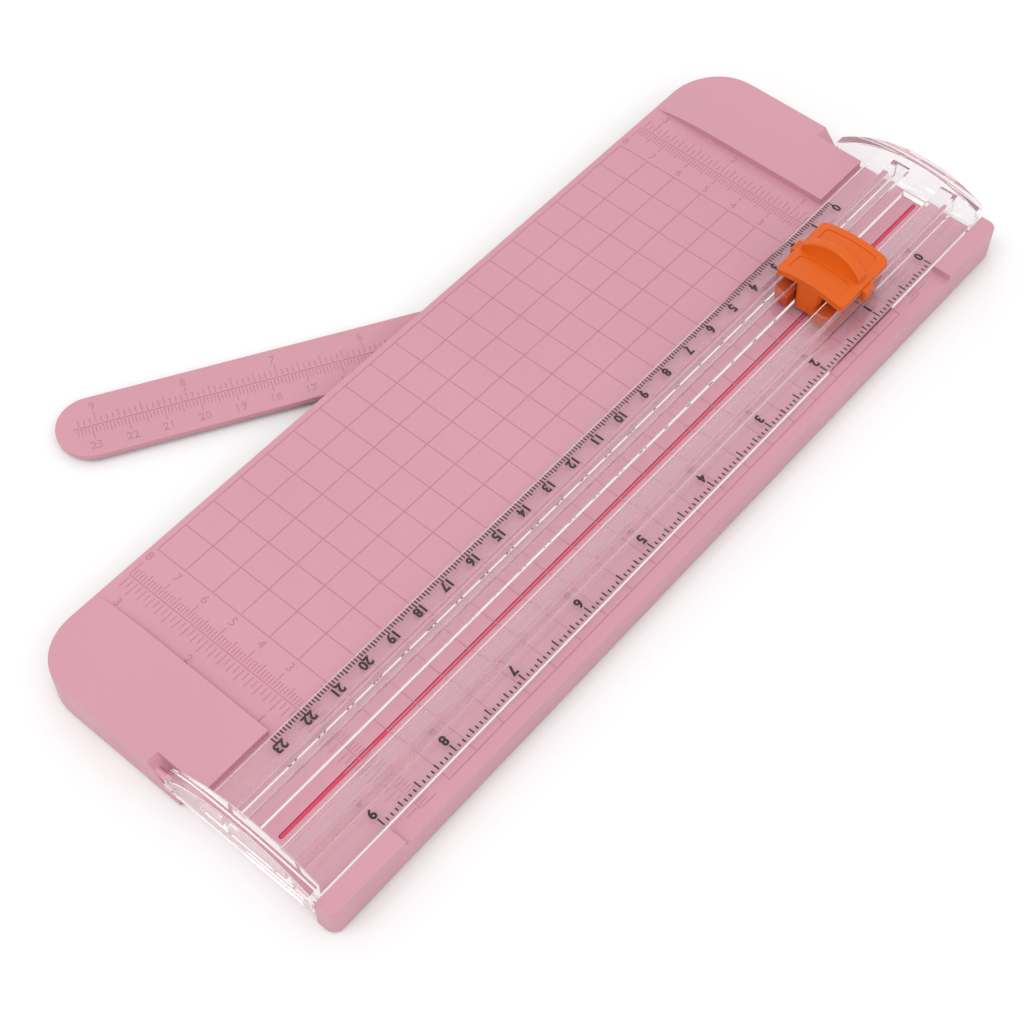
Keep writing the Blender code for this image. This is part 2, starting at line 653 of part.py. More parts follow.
def main():
    clear_scene()
    pink = make_material("pink_plastic", PINK, 0.42)
    clear = make_material("clear_plastic", (0.95, 0.95, 0.95), 0.05, transmission=0.9)
    orange = make_material("orange_plastic", ORANGE, 0.4)
    strip_red = make_material("red_strip", (0.72, 0.03, 0.07), 0.5)
    rubber = make_material("foot_rubber", (0.05, 0.05, 0.05), 0.8)
    steel = make_material("steel", (0.6, 0.6, 0.62), 0.3, metallic=1.0)

    build_base(pink)
    build_strip(strip_red)
    build_feet(rubber)
    build_rail(clear)
    build_ruler(pink)
    build_ruler_pivot(steel)
    build_head(orange)
    build_shoe(orange)
    build_blade(orange, steel)
    centre = CUTTER_X + STEM_CENTRE_X
    build_spring("spring_front", centre + CROSS_BAR_X, steel)
    build_spring("spring_rear", centre - CROSS_BAR_X, steel)


main()
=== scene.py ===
"""The looks of the sliding-blade paper trimmer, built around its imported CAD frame.

Lengths below are in millimetres in the frame's own axes, and each mesh is brought to metres as it is made.
"""

from math import cos, pi, radians, sin, sqrt, tan

import bmesh
import bpy
from mathutils import Matrix, Quaternion, Vector


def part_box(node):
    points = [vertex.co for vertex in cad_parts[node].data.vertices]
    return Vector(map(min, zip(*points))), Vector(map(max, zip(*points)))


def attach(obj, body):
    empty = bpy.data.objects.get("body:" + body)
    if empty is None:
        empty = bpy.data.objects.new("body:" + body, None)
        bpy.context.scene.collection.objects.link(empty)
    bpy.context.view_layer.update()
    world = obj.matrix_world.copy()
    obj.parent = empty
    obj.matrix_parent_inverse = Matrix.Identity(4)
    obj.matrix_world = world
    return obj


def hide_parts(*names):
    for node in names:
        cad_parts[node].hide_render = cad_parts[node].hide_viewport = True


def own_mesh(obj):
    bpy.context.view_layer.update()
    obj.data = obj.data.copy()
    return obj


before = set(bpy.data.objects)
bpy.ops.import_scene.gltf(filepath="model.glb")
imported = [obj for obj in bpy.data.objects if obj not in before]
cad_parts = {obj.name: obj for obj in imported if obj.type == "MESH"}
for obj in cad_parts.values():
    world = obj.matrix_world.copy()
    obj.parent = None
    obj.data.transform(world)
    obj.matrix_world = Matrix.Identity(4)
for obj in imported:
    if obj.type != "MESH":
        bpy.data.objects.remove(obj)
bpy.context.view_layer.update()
MM = 0.001
CLEAR_OF_PART = 5.0
FAR_CLEAR = 20.0
UNDER_FLOOR_Z = -1.0


def box_mm(node):
    low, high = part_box(node)
    return low / MM, high / MM


BASE_LOW, BASE_HIGH = box_mm("base_shell")
RAIL_LOW, RAIL_HIGH = box_mm("clear_rail")
STRIP_LOW, STRIP_HIGH = box_mm("cutting_strip")
SHOE_LOW, SHOE_HIGH = box_mm("guide_shoe")
SCREW_TOP_Z = box_mm("pivot_screw")[1].z

# Base
MAT_Z = 9.4
MAT_CORNER_R = 16.0
RAIL_CORNER_R = 3.0
BLOCK_INNER_X = 114.4
BLOCK_CORNER_R = 0.5
WALL = 2.0
END_WALL_X = 137.7
END_WALL_Y = (-27.4, 18.2)
RAIL_BED_Y = (-21.0, 18.2)
EDGE_ROUND_Y = -60.0
TOP_EDGE_BEVEL = 1.0
CAVITY_X = 132.8
CAVITY_CORNER_Y = -39.0
CEILING_Z = 7.4
CUT_BEAM_CEILING_Z = 5.4
CUT_BEAM_EDGE_Y = 6.0
RULER_BAY_TOP_Z = 4.6
RULER_BAY_Y = -7.2
RULER_SLOT_X = (-118.0, 113.0)
RIB = 1.2
RIB_PITCH = 27.5
POCKET_X = {-1: 134.8, 1: 135.7}
POCKET_FLOOR_Z = 5.4
POCKET_RAMP_Y = (-37.0, -31.6)
HINGE_X = 138.3
HINGE_Z = 8.4
HINGE_PIN_R = 1.0
FOOT_R = 5.0
FOOT_TOP_Z = 1.8
FOOT_BOSS_R = 7.0
FOOT_EDGE_R = 0.6
FOOT_DISH_R = 2.7
FOOT_DISH_DEPTH = 0.25
PIVOT_BOSS_R = 5.4
PIVOT_BORE_R = 1.5
GAP = 0.3

# Cutting strip
STRIP_HALF_WIDTH = 0.56
STRIP_CROWN = 0.2
STRIP_CROWN_FLATTENING = 0.4
STRIP_CLEARANCE = 0.08
STRIP_SLOT_R = 0.6

# Rail
FLANGE_Z = (10.2, 12.1)
CHANNEL_OUTER_Y = 11.1
CHANNEL_WALL = 1.5
LIP_INNER_Y = 5.3
LIP_THICKNESS = 1.5
RAIL_TOP_Z = 18.6
RAIL_NEAR_EDGE_Y = 19.2
RAIL_EDGE_R = 0.28
BAR_EDGE_R = 0.4
BLADE_SLOT_Y = 4.3
BRIDGE_LENGTH = 2.5
BAR_X = {-1: (135.2, 138.8), 1: (136.5, 140.1)}
BAR_BOTTOM_Z = 6.9
ARCH_Y = -3.4
ARCH_TOP_Z = 21.8
ARCH_R = 44.0
HINGE_BORE_R = 1.3
HOOK_R = 2.1
HOOK_WIDTH = 2.6
HOOK_MOUTH = 1.7

# Ruler
PIVOT = (-105.0, -19.0)
RULER_HALF_WIDTH = 10.15
RULER_REACH = 221.0
RULER_Z = (1.6, 3.6)
RULER_REST = radians(-30.5)
RULER_HOLE_R = 2.3
COUNTERBORE_R = 4.6
COUNTERBORE_Z = 2.75
RULER_EDGE_R = 0.4
RULER_LINE_X = (8.0, 216.0)
RULER_LINE_HALF_WIDTH = 0.14
RULER_TICK_HALF_WIDTH = 0.12
RULER_TICK_START = 0.5
RULER_NUMBER_Y = 6.6
RULER_NUMBER_HEIGHT = 2.6
RULER_CM_STEPS = range(28, 235)
RULER_INCH_STEPS = range(18, 148)
RULER_CM_NUMBERS = range(4, 24)
RULER_INCH_NUMBERS = range(2, 10)

# Ruler's screw and washers
SCREW_HEAD_BOTTOM_Z = 0.9
SCREW_HEAD_R = 3.75
SCREW_HEAD_EDGE_R = 0.45
SCREW_SHOULDER_R = 2.1
SCREW_THREAD_R = 1.15
SCREW_CROSS = (2.2, 0.4)
SCREW_CROSS_DEPTH_Z = 1.4
WASHER_HOLE_R = 2.4
WASHER_EDGE = 0.08

# Scales
INCH = 25.4
CM_ZERO_X = -114.2
INCH_ZERO_X = -113.96
GRID_X = (-95.0, 95.0)
GRID_Y = (-80.0, 20.0)
GRID_PITCH = 10.0
GROOVE_WIDTH = 0.32
GROOVE_DEPTH = 0.16
TICK_GROOVE_WIDTH = 0.3
# How far below the mat the darker pink fillings stand: painted shade in the grooves
GROOVE_SHADE_DROP = 0.04
INK_HEIGHT = 0.03
INK_LIFT = 0.005
GROOVE_SHADE_STEP = 0.004
CM_TICK_WIDTH = 0.42
INCH_TICK_WIDTH = 0.45
CM_SCALE_Y = -18.66
INCH_SCALE_Y = 17.3
CM_NUMBER_Y = -15.4
INCH_NUMBER_Y = 13.25
NUMBER_HEIGHT = 2.7
INK_WEIGHT = 0.15
SCALE_CM = 23
SCALE_INCHES = 9
CAPITAL_SHARE = 0.72
MAT_CM_NUMBER_X = 97.6
MAT_INCH_NUMBER_X = 112.4
MAT_CM_NUMBERS = (-8, -7, -6, -5, -4, -3, -2, -1, 1)
MAT_INCH_NUMBERS = (-3, -2, -1)
MAT_INCH_STEPS = range(-50, 13)
MAT_CM_TICKS = ((10, 4.4), (5, 3.3), (1, 2.4))
MAT_INCH_TICKS = ((16, 4.4), (8, 4.0), (2, 3.5), (1, 2.5))
RULER_CM_TICKS = ((10, 4.0), (5, 3.0), (1, 2.1))
RULER_INCH_TICKS = ((16, 4.0), (8, 3.4), (4, 2.8), (1, 2.0))
PRINTED_CM_TICKS = ((10, 2.1), (5, 1.75), (1, 1.3))
PRINTED_INCH_TICKS = ((8, 2.3), (4, 1.7), (1, 1.1))

# Cutter
CUTTER_X = -88.1
STEM_CENTRE_X = 1.3
PLATE_X = (-11.5, 11.7)
PLATE_HALF_WIDTH = 11.2
PLATE_BOTTOM_Z = 19.4
PLATE_EDGE_Z = 21.4
PLATE_CENTRE_Z = 23.2
PLATE_THICKNESS = 1.7
PLATE_CORNER_R = 1.6
SKIRT_WALL = 1.0
PLATE_EDGE_R = 0.5
PANEL_HALF_WIDTH = 8.6
PANEL_DEPTH = 0.22
PANEL_CORNER_R = 1.2
PANEL_MARGIN = 2.2
FIN_BACK_X = -1.7
FIN_FRONT_X = 2.0
FIN_FOOT_BULGE = 1.2
FIN_TOP_HOLLOW = 0.9
FIN_HALF_WIDTH = 9.8
FIN_FOOT_Z = PLATE_EDGE_Z - 0.8
FIN_END_Z = 24.0
FIN_EDGE_R = 0.6
FIN_TOP_Z = 27.8
STEM_X = (-8.5, 11.6)
STEM_HALF_WIDTH = 4.0
STEM_WALL = 1.0
STEM_BOTTOM_Z = 10.8
STEM_CEILING_Z = 21.5
STEM_CORNER_R = 1.4
STEM_FOOT_R = 1.1
CLIP_HALF_LENGTH = 2.0
CLIP_INNER_Y = 11.4
CLIP_OUTER_Y = 12.8
CLIP_BOTTOM_Z = 16.6
CLIP_TOP_Z = 20.6
CLIP_EDGE_R = 0.5
CROSS_BAR_X = 6.4
CROSS_BAR_HALF = 1.7
CROSS_BAR_TOP_Z = 13.9
SHOE_CORNER_R = 2.0
SHOE_EDGE_R = 0.5
PRESS_TRAVEL = 0.6
SPRING_R = 1.75
SPRING_WIRE_R = 0.25
SPRING_TURNS = 6
SPRING_STEPS_A_TURN = 32
SPRING_WIRE_SIDES = 10
SPRING_CLOSED_SHARE = 1 / SPRING_TURNS
SPRING_CLOSED_RISE = 0.08

# Materials
MOST_BOUNCES_IN_CLEAR = 3

# Stage
FLOOR_REACH = 2500.0
WORLD_STRENGTH = 1.0
LAMP_AIM = (0.0, -0.02, 0.0)

# Camera
CAMERA_LOCATION = (0.244157, 0.163564, 0.427417)
CAMERA_DIRECTION = (-0.43021, -0.36074, -0.82751)
CAMERA_ROLL = radians(0.64)
CAMERA_LENS = 68.2


# Node helpers for materials

def new_material(name):
    material = bpy.data.materials.new(name)
    material.use_nodes = True
    tree = material.node_tree
    return material, tree, tree.nodes["Principled BSDF"]


def noise(tree, scale, detail=4.0, roughness=0.5, stretch=None):
    """A noise texture over the object's own coordinates, optionally stretched along one axis."""
    place = tree.nodes.new("ShaderNodeTexCoord").outputs["Object"]
    if stretch:
        mapping = tree.nodes.new("ShaderNodeMapping")
        mapping.inputs["Scale"].default_value = stretch
        tree.links.new(place, mapping.inputs["Vector"])
        place = mapping.outputs["Vector"]
    texture = tree.nodes.new("ShaderNodeTexNoise")
    texture.inputs["Scale"].default_value = scale
    texture.inputs["Detail"].default_value = detail
    texture.inputs["Roughness"].default_value = roughness
    tree.links.new(place, texture.inputs["Vector"])
    return texture.outputs["Fac"]


def ramp(tree, value, stops):
    """A colour ramp: stops are (position, colour)."""
    node = tree.nodes.new("ShaderNodeValToRGB")
    elements = node.color_ramp.elements
    while len(elements) < len(stops):
        elements.new(0.5)
    for element, (position, colour) in zip(elements, stops):
        element.position = position
        element.color = (*colour, 1.0)
    tree.links.new(value, node.inputs["Fac"])
    return node.outputs["Color"]


def spread(tree, value, low, high):
    """The value from 0 to 1 as one from low to high, kept between them."""
    node = tree.nodes.new("ShaderNodeMapRange")
    node.inputs["From Min"].default_value = 0.3
    node.inputs["From Max"].default_value = 0.7
    node.inputs["To Min"].default_value = low
    node.inputs["To Max"].default_value = high
    tree.links.new(value, node.inputs["Value"])
    return node.outputs["Result"]


def add_bump(tree, shader, value, strength, distance):
    bump = tree.nodes.new("ShaderNodeBump")
    bump.inputs["Strength"].default_value = strength
    bump.inputs["Distance"].default_value = distance * MM
    tree.links.new(value, bump.inputs["Height"])
    tree.links.new(bump.outputs["Normal"], shader.inputs["Normal"])


def math_node(tree, operation, *values):
    node = tree.nodes.new("ShaderNodeMath")
    node.operation = operation
    for value, socket in zip(values, node.inputs):
        tree.links.new(value, socket)
    return node.outputs["Value"]


def shaded(colour, factor):
    return tuple(min(1.0, channel * factor) for channel in colour)


def moulded_plastic(name, colour, roughness, glow, variation=0.03, shine=0.5):
    """Satin moulded plastic: flow marks, a spark-eroded grain and a little light carried under the skin."""
    material, tree, shader = new_material(name)
    flow = noise(tree, 14.0, 3.0)
    stops = [(0.3, shaded(colour, 1 - variation)), (0.7, shaded(colour, 1 + variation))]
    tree.links.new(ramp(tree, flow, stops), shader.inputs["Base Color"])
    wear = noise(tree, 90.0, 6.0)
    tree.links.new(spread(tree, wear, roughness - 0.05, roughness + 0.06), shader.inputs["Roughness"])
    add_bump(tree, shader, noise(tree, 2600.0, 3.0, 0.6), 0.12, 0.02)
    shader.inputs["IOR"].default_value = 1.49
    shader.inputs["Specular IOR Level"].default_value = shine
    shader.inputs["Subsurface Weight"].default_value = glow
    shader.inputs["Subsurface Radius"].default_value = (1.0, 0.45, 0.4)
    shader.inputs["Subsurface Scale"].default_value = 1.2 * MM
    return material


def clear_plastic():
    """Clear styrene with faint flow lines.

    Light for what lies under it goes straight through, as through the thin real moulding. So does a ray that
    has already met many surfaces, which lets light caught inside a thin wall come out.
    """
    material, tree, shader = new_material("clear_styrene")
    shader.inputs["Base Color"].default_value = (0.96, 0.95, 0.955, 1.0)
    shader.inputs["Transmission Weight"].default_value = 1.0
    shader.inputs["IOR"].default_value = 1.5
    scuffs = noise(tree, 60.0, 5.0, 0.6, (1.0, 6.0, 1.0))
    tree.links.new(spread(tree, scuffs, 0.006, 0.012), shader.inputs["Roughness"])
    add_bump(tree, shader, noise(tree, 30.0, 1.0, 0.4, (0.2, 1.0, 1.0)), 0.006, 0.02)
    through = tree.nodes.new("ShaderNodeBsdfTransparent")
    through.inputs["Color"].default_value = (0.97, 0.965, 0.97, 1.0)
    rays = tree.nodes.new("ShaderNodeLightPath")
    deep = math_node(tree, "GREATER_THAN", rays.outputs["Ray Depth"])
    deep.node.inputs[1].default_value = MOST_BOUNCES_IN_CLEAR + 0.5
    lighting = math_node(tree, "MAXIMUM", rays.outputs["Is Shadow Ray"], rays.outputs["Is Diffuse Ray"])
    mix = tree.nodes.new("ShaderNodeMixShader")
    tree.links.new(math_node(tree, "MAXIMUM", lighting, deep), mix.inputs["Fac"])
    tree.links.new(shader.outputs["BSDF"], mix.inputs[1])
    tree.links.new(through.outputs["BSDF"], mix.inputs[2])
    tree.links.new(mix.outputs["Shader"], tree.nodes["Material Output"].inputs["Surface"])
    return material


def printed_ink():
    """Black pad-printed ink: a little uneven, with a soft shine."""
    material, tree, shader = new_material("printed_ink")
    patches = noise(tree, 900.0, 4.0)
    stops = [(0.35, (0.014, 0.006, 0.008)), (0.75, (0.04, 0.02, 0.026))]
    tree.links.new(ramp(tree, patches, stops), shader.inputs["Base Color"])
    tree.links.new(spread(tree, patches, 0.35, 0.55), shader.inputs["Roughness"])
    add_bump(tree, shader, noise(tree, 3000.0), 0.2, 0.01)
    return material


def steel(name, roughness, stretch):
    """Bright steel with the fine lines of its grinding or drawing."""
    material, tree, shader = new_material(name)
    lines = noise(tree, 900.0, 5.0, 0.6, stretch)
    stops = [(0.3, (0.46, 0.46, 0.48)), (0.7, (0.66, 0.66, 0.68))]
    tree.links.new(ramp(tree, lines, stops), shader.inputs["Base Color"])
    tree.links.new(spread(tree, lines, roughness - 0.08, roughness + 0.1), shader.inputs["Roughness"])
    add_bump(tree, shader, lines, 0.15, 0.01)
    shader.inputs["Metallic"].default_value = 1.0
    return material


def rubber():
    material, tree, shader = new_material("black_rubber")
    grain = noise(tree, 700.0, 6.0, 0.7)
    stops = [(0.3, (0.02, 0.02, 0.021)), (0.75, (0.055, 0.053, 0.052))]
    tree.links.new(ramp(tree, grain, stops), shader.inputs["Base Color"])
    tree.links.new(spread(tree, grain, 0.7, 0.9), shader.inputs["Roughness"])
    add_bump(tree, shader, grain, 0.4, 0.05)
    return material


PINK = moulded_plastic("pink_styrene", (0.53, 0.253, 0.308), 0.42, 0.12)
# Painted shade: a darker copy of the mat's pink that fills the mat's grooves and engraved numbers in place
# of the shade they hold
GROOVE_SHADE_PINK = moulded_plastic("groove_shade_pink", (0.46, 0.17, 0.222), 0.55, 0.08)
ORANGE = moulded_plastic("orange_styrene", (0.62, 0.10, 0.004), 0.38, 0.04, shine=0.3)
SHOE_ORANGE = moulded_plastic("orange_acetal", (0.42, 0.05, 0.006), 0.5, 0.03)
RED = moulded_plastic("red_strip_plastic", (0.60, 0.036, 0.080), 0.40, 0.05)
CLEAR = clear_plastic()
INK = printed_ink()
WIRE = steel("spring_wire", 0.28, (1.0, 1.0, 1.0))
PLATED = steel("plated_steel", 0.25, (1.0, 6.0, 1.0))
GROUND = steel("ground_blade_steel", 0.18, (8.0, 1.0, 0.6))
RUBBER = rubber()


# Mesh helpers

def add_object(name, bm, material=None):
    """A new object from a mesh in millimetres."""
    bm.transform(Matrix.Scale(MM, 4))
    bmesh.ops.recalc_face_normals(bm, faces=bm.faces)
    mesh = bpy.data.meshes.new(name)
    bm.to_mesh(mesh)
    bm.free()
    obj = bpy.data.objects.new(name, mesh)
    bpy.context.scene.collection.objects.link(obj)
    if material:
        mesh.materials.append(material)
    return obj


def combine(target, bm, operation):
    """An exact Boolean with the mesh, applied at once."""
    tool = add_object("tool", bm)
    modifier = target.modifiers.new(operation, "BOOLEAN")
    modifier.operation = operation
    modifier.object = tool
    modifier.solver = "EXACT"
    apply_modifiers(target)
    bpy.data.objects.remove(tool)


def cut(target, bm):
    combine(target, bm, "DIFFERENCE")


def join(target, bm):
    combine(target, bm, "UNION")


def apply_modifiers(obj):
    bpy.context.view_layer.update()
    evaluated = obj.evaluated_get(bpy.context.evaluated_depsgraph_get())
    mesh = bpy.data.meshes.new_from_object(evaluated)
    old = obj.data
    obj.modifiers.clear()
    obj.data = mesh
    bpy.data.meshes.remove(old)


def bevel(obj, width, segments=3, angle=50):
    modifier = obj.modifiers.new("Bevel", "BEVEL")
    modifier.width = width * MM
    modifier.segments = segments
    modifier.limit_method = "ANGLE"
    modifier.angle_limit = radians(angle)
    apply_modifiers(obj)


def finish_piece(obj, body, slot, *replaced, sharp=35):
    """Smooth shading with firm flats, then the piece's body and the CAD nodes it stands for. The slot
    argument is not used.
    """
    obj.data.shade_smooth()
    obj.data.set_sharp_from_angle(angle=radians(sharp))
    weighted = obj.modifiers.new("Weighted", "WEIGHTED_NORMAL")
    weighted.keep_sharp = True
    apply_modifiers(obj)
    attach(obj, body)
    if replaced:
        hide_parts(*replaced)
    return obj


def prism(points, axis, low, high, bm=None):
    """A closed prism: 2D points in the plane across the axis, extruded from low to high along it."""
    bm = bm or bmesh.new()
    place = {
        "X": lambda a, b, c: (c, a, b),
        "Y": lambda a, b, c: (a, c, b),
        "Z": lambda a, b, c: (a, b, c),
    }[axis]
    bottom = [bm.verts.new(place(a, b, low)) for a, b in points]
    top = [bm.verts.new(place(a, b, high)) for a, b in points]
    bm.faces.new(bottom)
    bm.faces.new(top)
    for i in range(len(points)):
        j = (i + 1) % len(points)
        bm.faces.new((bottom[i], bottom[j], top[j], top[i]))
    return bm


def box(x, y, z, bm=None):
    points = ((x[0], y[0]), (x[1], y[0]), (x[1], y[1]), (x[0], y[1]))
    return prism(points, "Z", z[0], z[1], bm)


def loft(sections):
    """A closed solid through rings of points, which all have as many points, with a face at both ends."""
    bm = bmesh.new()
    rings = [[bm.verts.new(point) for point in section] for section in sections]
    count = len(rings[0])
    for first, second in zip(rings, rings[1:]):
        for k in range(count):
            m = (k + 1) % count
            bm.faces.new((first[k], first[m], second[m], second[k]))
    bm.faces.new(rings[0])
    bm.faces.new(rings[-1])
    return bm


def arc(centre, radius, start, end, steps):
    """Points on a circular arc, with its angles in degrees."""
    angles = [radians(start + (end - start) * i / steps) for i in range(steps + 1)]
    return [(centre[0] + radius * cos(a), centre[1] + radius * sin(a)) for a in angles]


def circle(centre, radius, sides=64):
    return arc(centre, radius, 0, 360 - 360 / sides, sides - 1)


def disc(centre, radius, low, high, sides=64, axis="Z"):
    return prism(circle(centre, radius, sides), axis, low, high)


def rounded(points, radius, steps=5):
    """The outline with each of its corners turned into an arc."""
    out = []
    count = len(points)
    for i, corner in enumerate(points):
        here = Vector(corner)
        before = (Vector(points[i - 1]) - here).normalized()
        after = (Vector(points[(i + 1) % count]) - here).normalized()
        half = before.angle(after) / 2
        reach = min(
            radius / tan(half),
            (Vector(points[i - 1]) - here).length * 0.49,
            (Vector(points[(i + 1) % count]) - here).length * 0.49,
        )
        fitted = reach * tan(half)
        middle = here + (before + after).normalized() * (fitted / sin(half))
        start = here + before * reach - middle
        end = here + after * reach - middle
        turn = start.angle_signed(end)
        for k in range(steps + 1):
            spoke = Matrix.Rotation(-turn * k / steps, 2) @ start
            out.append(tuple(middle + spoke))
    return out


def rounded_box(x, y, z, radius, steps=8):
    corners = ((x[0], y[0]), (x[1], y[0]), (x[1], y[1]), (x[0], y[1]))
    return prism(rounded(corners, radius, steps), "Z", z[0], z[1])


def lathe(profile, centre, sides=64):
    """A solid turned about a vertical axis, from points (radius, z). One on the axis has radius 0."""
    bm = bmesh.new()
    rings = []
    for radius, z in profile:
        if radius:
            rings.append([bm.verts.new((*point, z)) for point in circle(centre, radius, sides)])
        else:
            rings.append([bm.verts.new((*centre, z))])
    closed = profile[0][0] > 0 and profile[-1][0] > 0
    pairs = list(zip(rings, rings[1:]))
    if closed:
        pairs.append((rings[-1], rings[0]))
    for first, second in pairs:
        for i in range(sides):
            j = (i + 1) % sides
            near = [first[i % len(first)], first[j % len(first)]]
            far = [second[j % len(second)], second[i % len(second)]]
            bm.faces.new(list(dict.fromkeys(near + far)))
    return bm


# Base

def base_outline():
    x = BASE_HIGH.x
    mat_y = BASE_LOW.y
    rail_y = BASE_HIGH.y
    r = MAT_CORNER_R
    s = RAIL_CORNER_R
    outline = arc((-x + r, mat_y + r), r, 180, 270, 28)
    outline += arc((x - r, mat_y + r), r, 270, 360, 28)
    low, high = END_WALL_Y
    outline += [(x, low), (END_WALL_X, low), (END_WALL_X, high), (x, high)]
    outline += arc((x - s, rail_y - s), s, 0, 90, 10)
    outline += arc((-x + s, rail_y - s), s, 90, 180, 10)
    outline += [(-x, high), (-END_WALL_X, high), (-END_WALL_X, low), (-x, low)]
    return outline


def above_the_block_curve():
    """The space over the base, whose top falls in a soft curve to the mat's own level at the mat's edge."""
    top = BASE_HIGH.z
    mat_y = BASE_LOW.y
    drop = top - MAT_Z
    run = mat_y - EDGE_ROUND_Y
    radius = (run * run + drop * drop) / (2 * drop)
    steps = 16
    curve = []
    for i in range(steps + 1):
        y = EDGE_ROUND_Y + run * i / steps
        curve.append((y, top - radius + sqrt(radius * radius - (y - EDGE_ROUND_Y) ** 2)))
    beyond = mat_y - CLEAR_OF_PART
    above = top + CLEAR_OF_PART
    outside = [(beyond, MAT_Z - 0.5), (beyond, above), (EDGE_ROUND_Y, above)]
    end = BASE_HIGH.x + CLEAR_OF_PART
    return prism(curve + outside, "X", -end, end)


def end_pocket(side):
    """The notch in one end of the base that takes the rail's end bar."""
    top = BASE_HIGH.z + CLEAR_OF_PART
    slope = (POCKET_RAMP_Y[0] - POCKET_RAMP_Y[1]) / (BASE_HIGH.z - POCKET_FLOOR_Z)
    profile = (
        (POCKET_RAMP_Y[0] + slope * CLEAR_OF_PART, top),
        (POCKET_RAMP_Y[1], POCKET_FLOOR_Z),
        (RAIL_BED_Y[1], POCKET_FLOOR_Z),
        (RAIL_BED_Y[1], top),
    )
    low, high = sorted((side * POCKET_X[side], side * (BASE_HIGH.x + CLEAR_OF_PART)))
    return prism(profile, "X", low, high)


def ruler_bay():
    """The shallow hollow under the mat, through which the ruler swings."""
    r = MAT_CORNER_R - WALL
    x = BASE_HIGH.x - WALL
    y = BASE_LOW.y + WALL
    outline = arc((-x + r, y + r), r, 180, 270, 16) + arc((x - r, y + r), r, 270, 360, 16)
    outline += [(x, CAVITY_CORNER_Y), (CAVITY_X, CAVITY_CORNER_Y), (CAVITY_X, RULER_BAY_Y)]
    outline += [(-CAVITY_X, RULER_BAY_Y), (-CAVITY_X, CAVITY_CORNER_Y), (-x, CAVITY_CORNER_Y)]
    return prism(outline, "Z", UNDER_FLOOR_Z, RULER_BAY_TOP_Z)


def rib_cells():
    """The hollow's cells: what is left between them is the lattice of ribs under the mat."""
    bm = bmesh.new()
    columns = round(2 * CAVITY_X / RIB_PITCH)
    pitch = (2 * CAVITY_X + RIB) / columns
    mat_rows = 3
    row_low = BASE_LOW.y + WALL
    row_pitch = (RULER_BAY_Y - row_low + RIB) / mat_rows
    for column in range(columns):
        left = -CAVITY_X + column * pitch
        x = (left, left + pitch - RIB)
        for row in range(mat_rows):
            corner = row == 0 and column in (0, columns - 1)
            if not corner:
                y = (row_low + row * row_pitch, row_low + (row + 1) * row_pitch - RIB)
                box(x, y, (RULER_BAY_TOP_Z - 1.0, CEILING_Z), bm)
        box(x, (RULER_BAY_Y + RIB, CUT_BEAM_EDGE_Y), (UNDER_FLOOR_Z, CUT_BEAM_CEILING_Z), bm)
        box(x, (CUT_BEAM_EDGE_Y + RIB, BASE_HIGH.y - WALL), (UNDER_FLOOR_Z, CEILING_Z), bm)
    return bm


def mat_recess():
    """The lower area between the end blocks, whose corners are rounded where it meets the rail's bed."""
    y = (BASE_LOW.y - FAR_CLEAR, BASE_HIGH.y + FAR_CLEAR)
    z = (MAT_Z, BASE_HIGH.z + CLEAR_OF_PART)
    return rounded_box((-BLOCK_INNER_X, BLOCK_INNER_X), y, z, BLOCK_CORNER_R)


def foot_centres():
    """Each foot's centre, read from the frame."""
    centres = []
    for number in range(1, 6):
        low, high = box_mm(f"rubber_foot_{number}")
        centres.append(((low.x + high.x) / 2, (low.y + high.y) / 2))
    return centres


def lines_across(z):
    """The grid's lines across the cut, and the baselines of both end scales."""
    bm = bmesh.new()
    half = GROOVE_WIDTH / 2
    for i in range(-1, round((GRID_X[1] - GRID_X[0]) / GRID_PITCH) + 2):
        x = GRID_X[0] + GRID_PITCH * i
        box((x - half, x + half), GRID_Y, z, bm)
    return bm


def lines_along(z):
    """The grid's lines along the cut."""
    bm = bmesh.new()
    half = GROOVE_WIDTH / 2
    for i in range(round((GRID_Y[1] - GRID_Y[0]) / GRID_PITCH) + 1):
        y = GRID_Y[0] + GRID_PITCH * i
        box(GRID_X, (y - half, y + half), z, bm)
    return bm


def tick_length(step, lengths):
    """The length of the tick at this step: that of the first of the lengths whose interval it falls on."""
    return next(length for interval, length in lengths if step % interval == 0)


def end_scale_ticks(z):
    """Both end scales' ticks: millimetres on the grid's side of the baseline, sixteenths on the other."""
    bm = bmesh.new()
    half = TICK_GROOVE_WIDTH / 2
    cm_start = GRID_X[1] + GRID_PITCH - 0.5
    inch_start = GRID_X[1] + GRID_PITCH + 0.6
    for side in (-1, 1):
        for step in range(round(GRID_Y[0]), round(GRID_Y[1]) + 1):
            x = sorted((side * cm_start, side * (cm_start - tick_length(step, MAT_CM_TICKS))))
            box(x, (step - half, step + half), z, bm)
        for step in MAT_INCH_STEPS:
            y = step * INCH / 16
            x = sorted((side * inch_start, side * (inch_start + tick_length(step, MAT_INCH_TICKS))))
            box(x, (y - half, y + half), z, bm)
    return bm


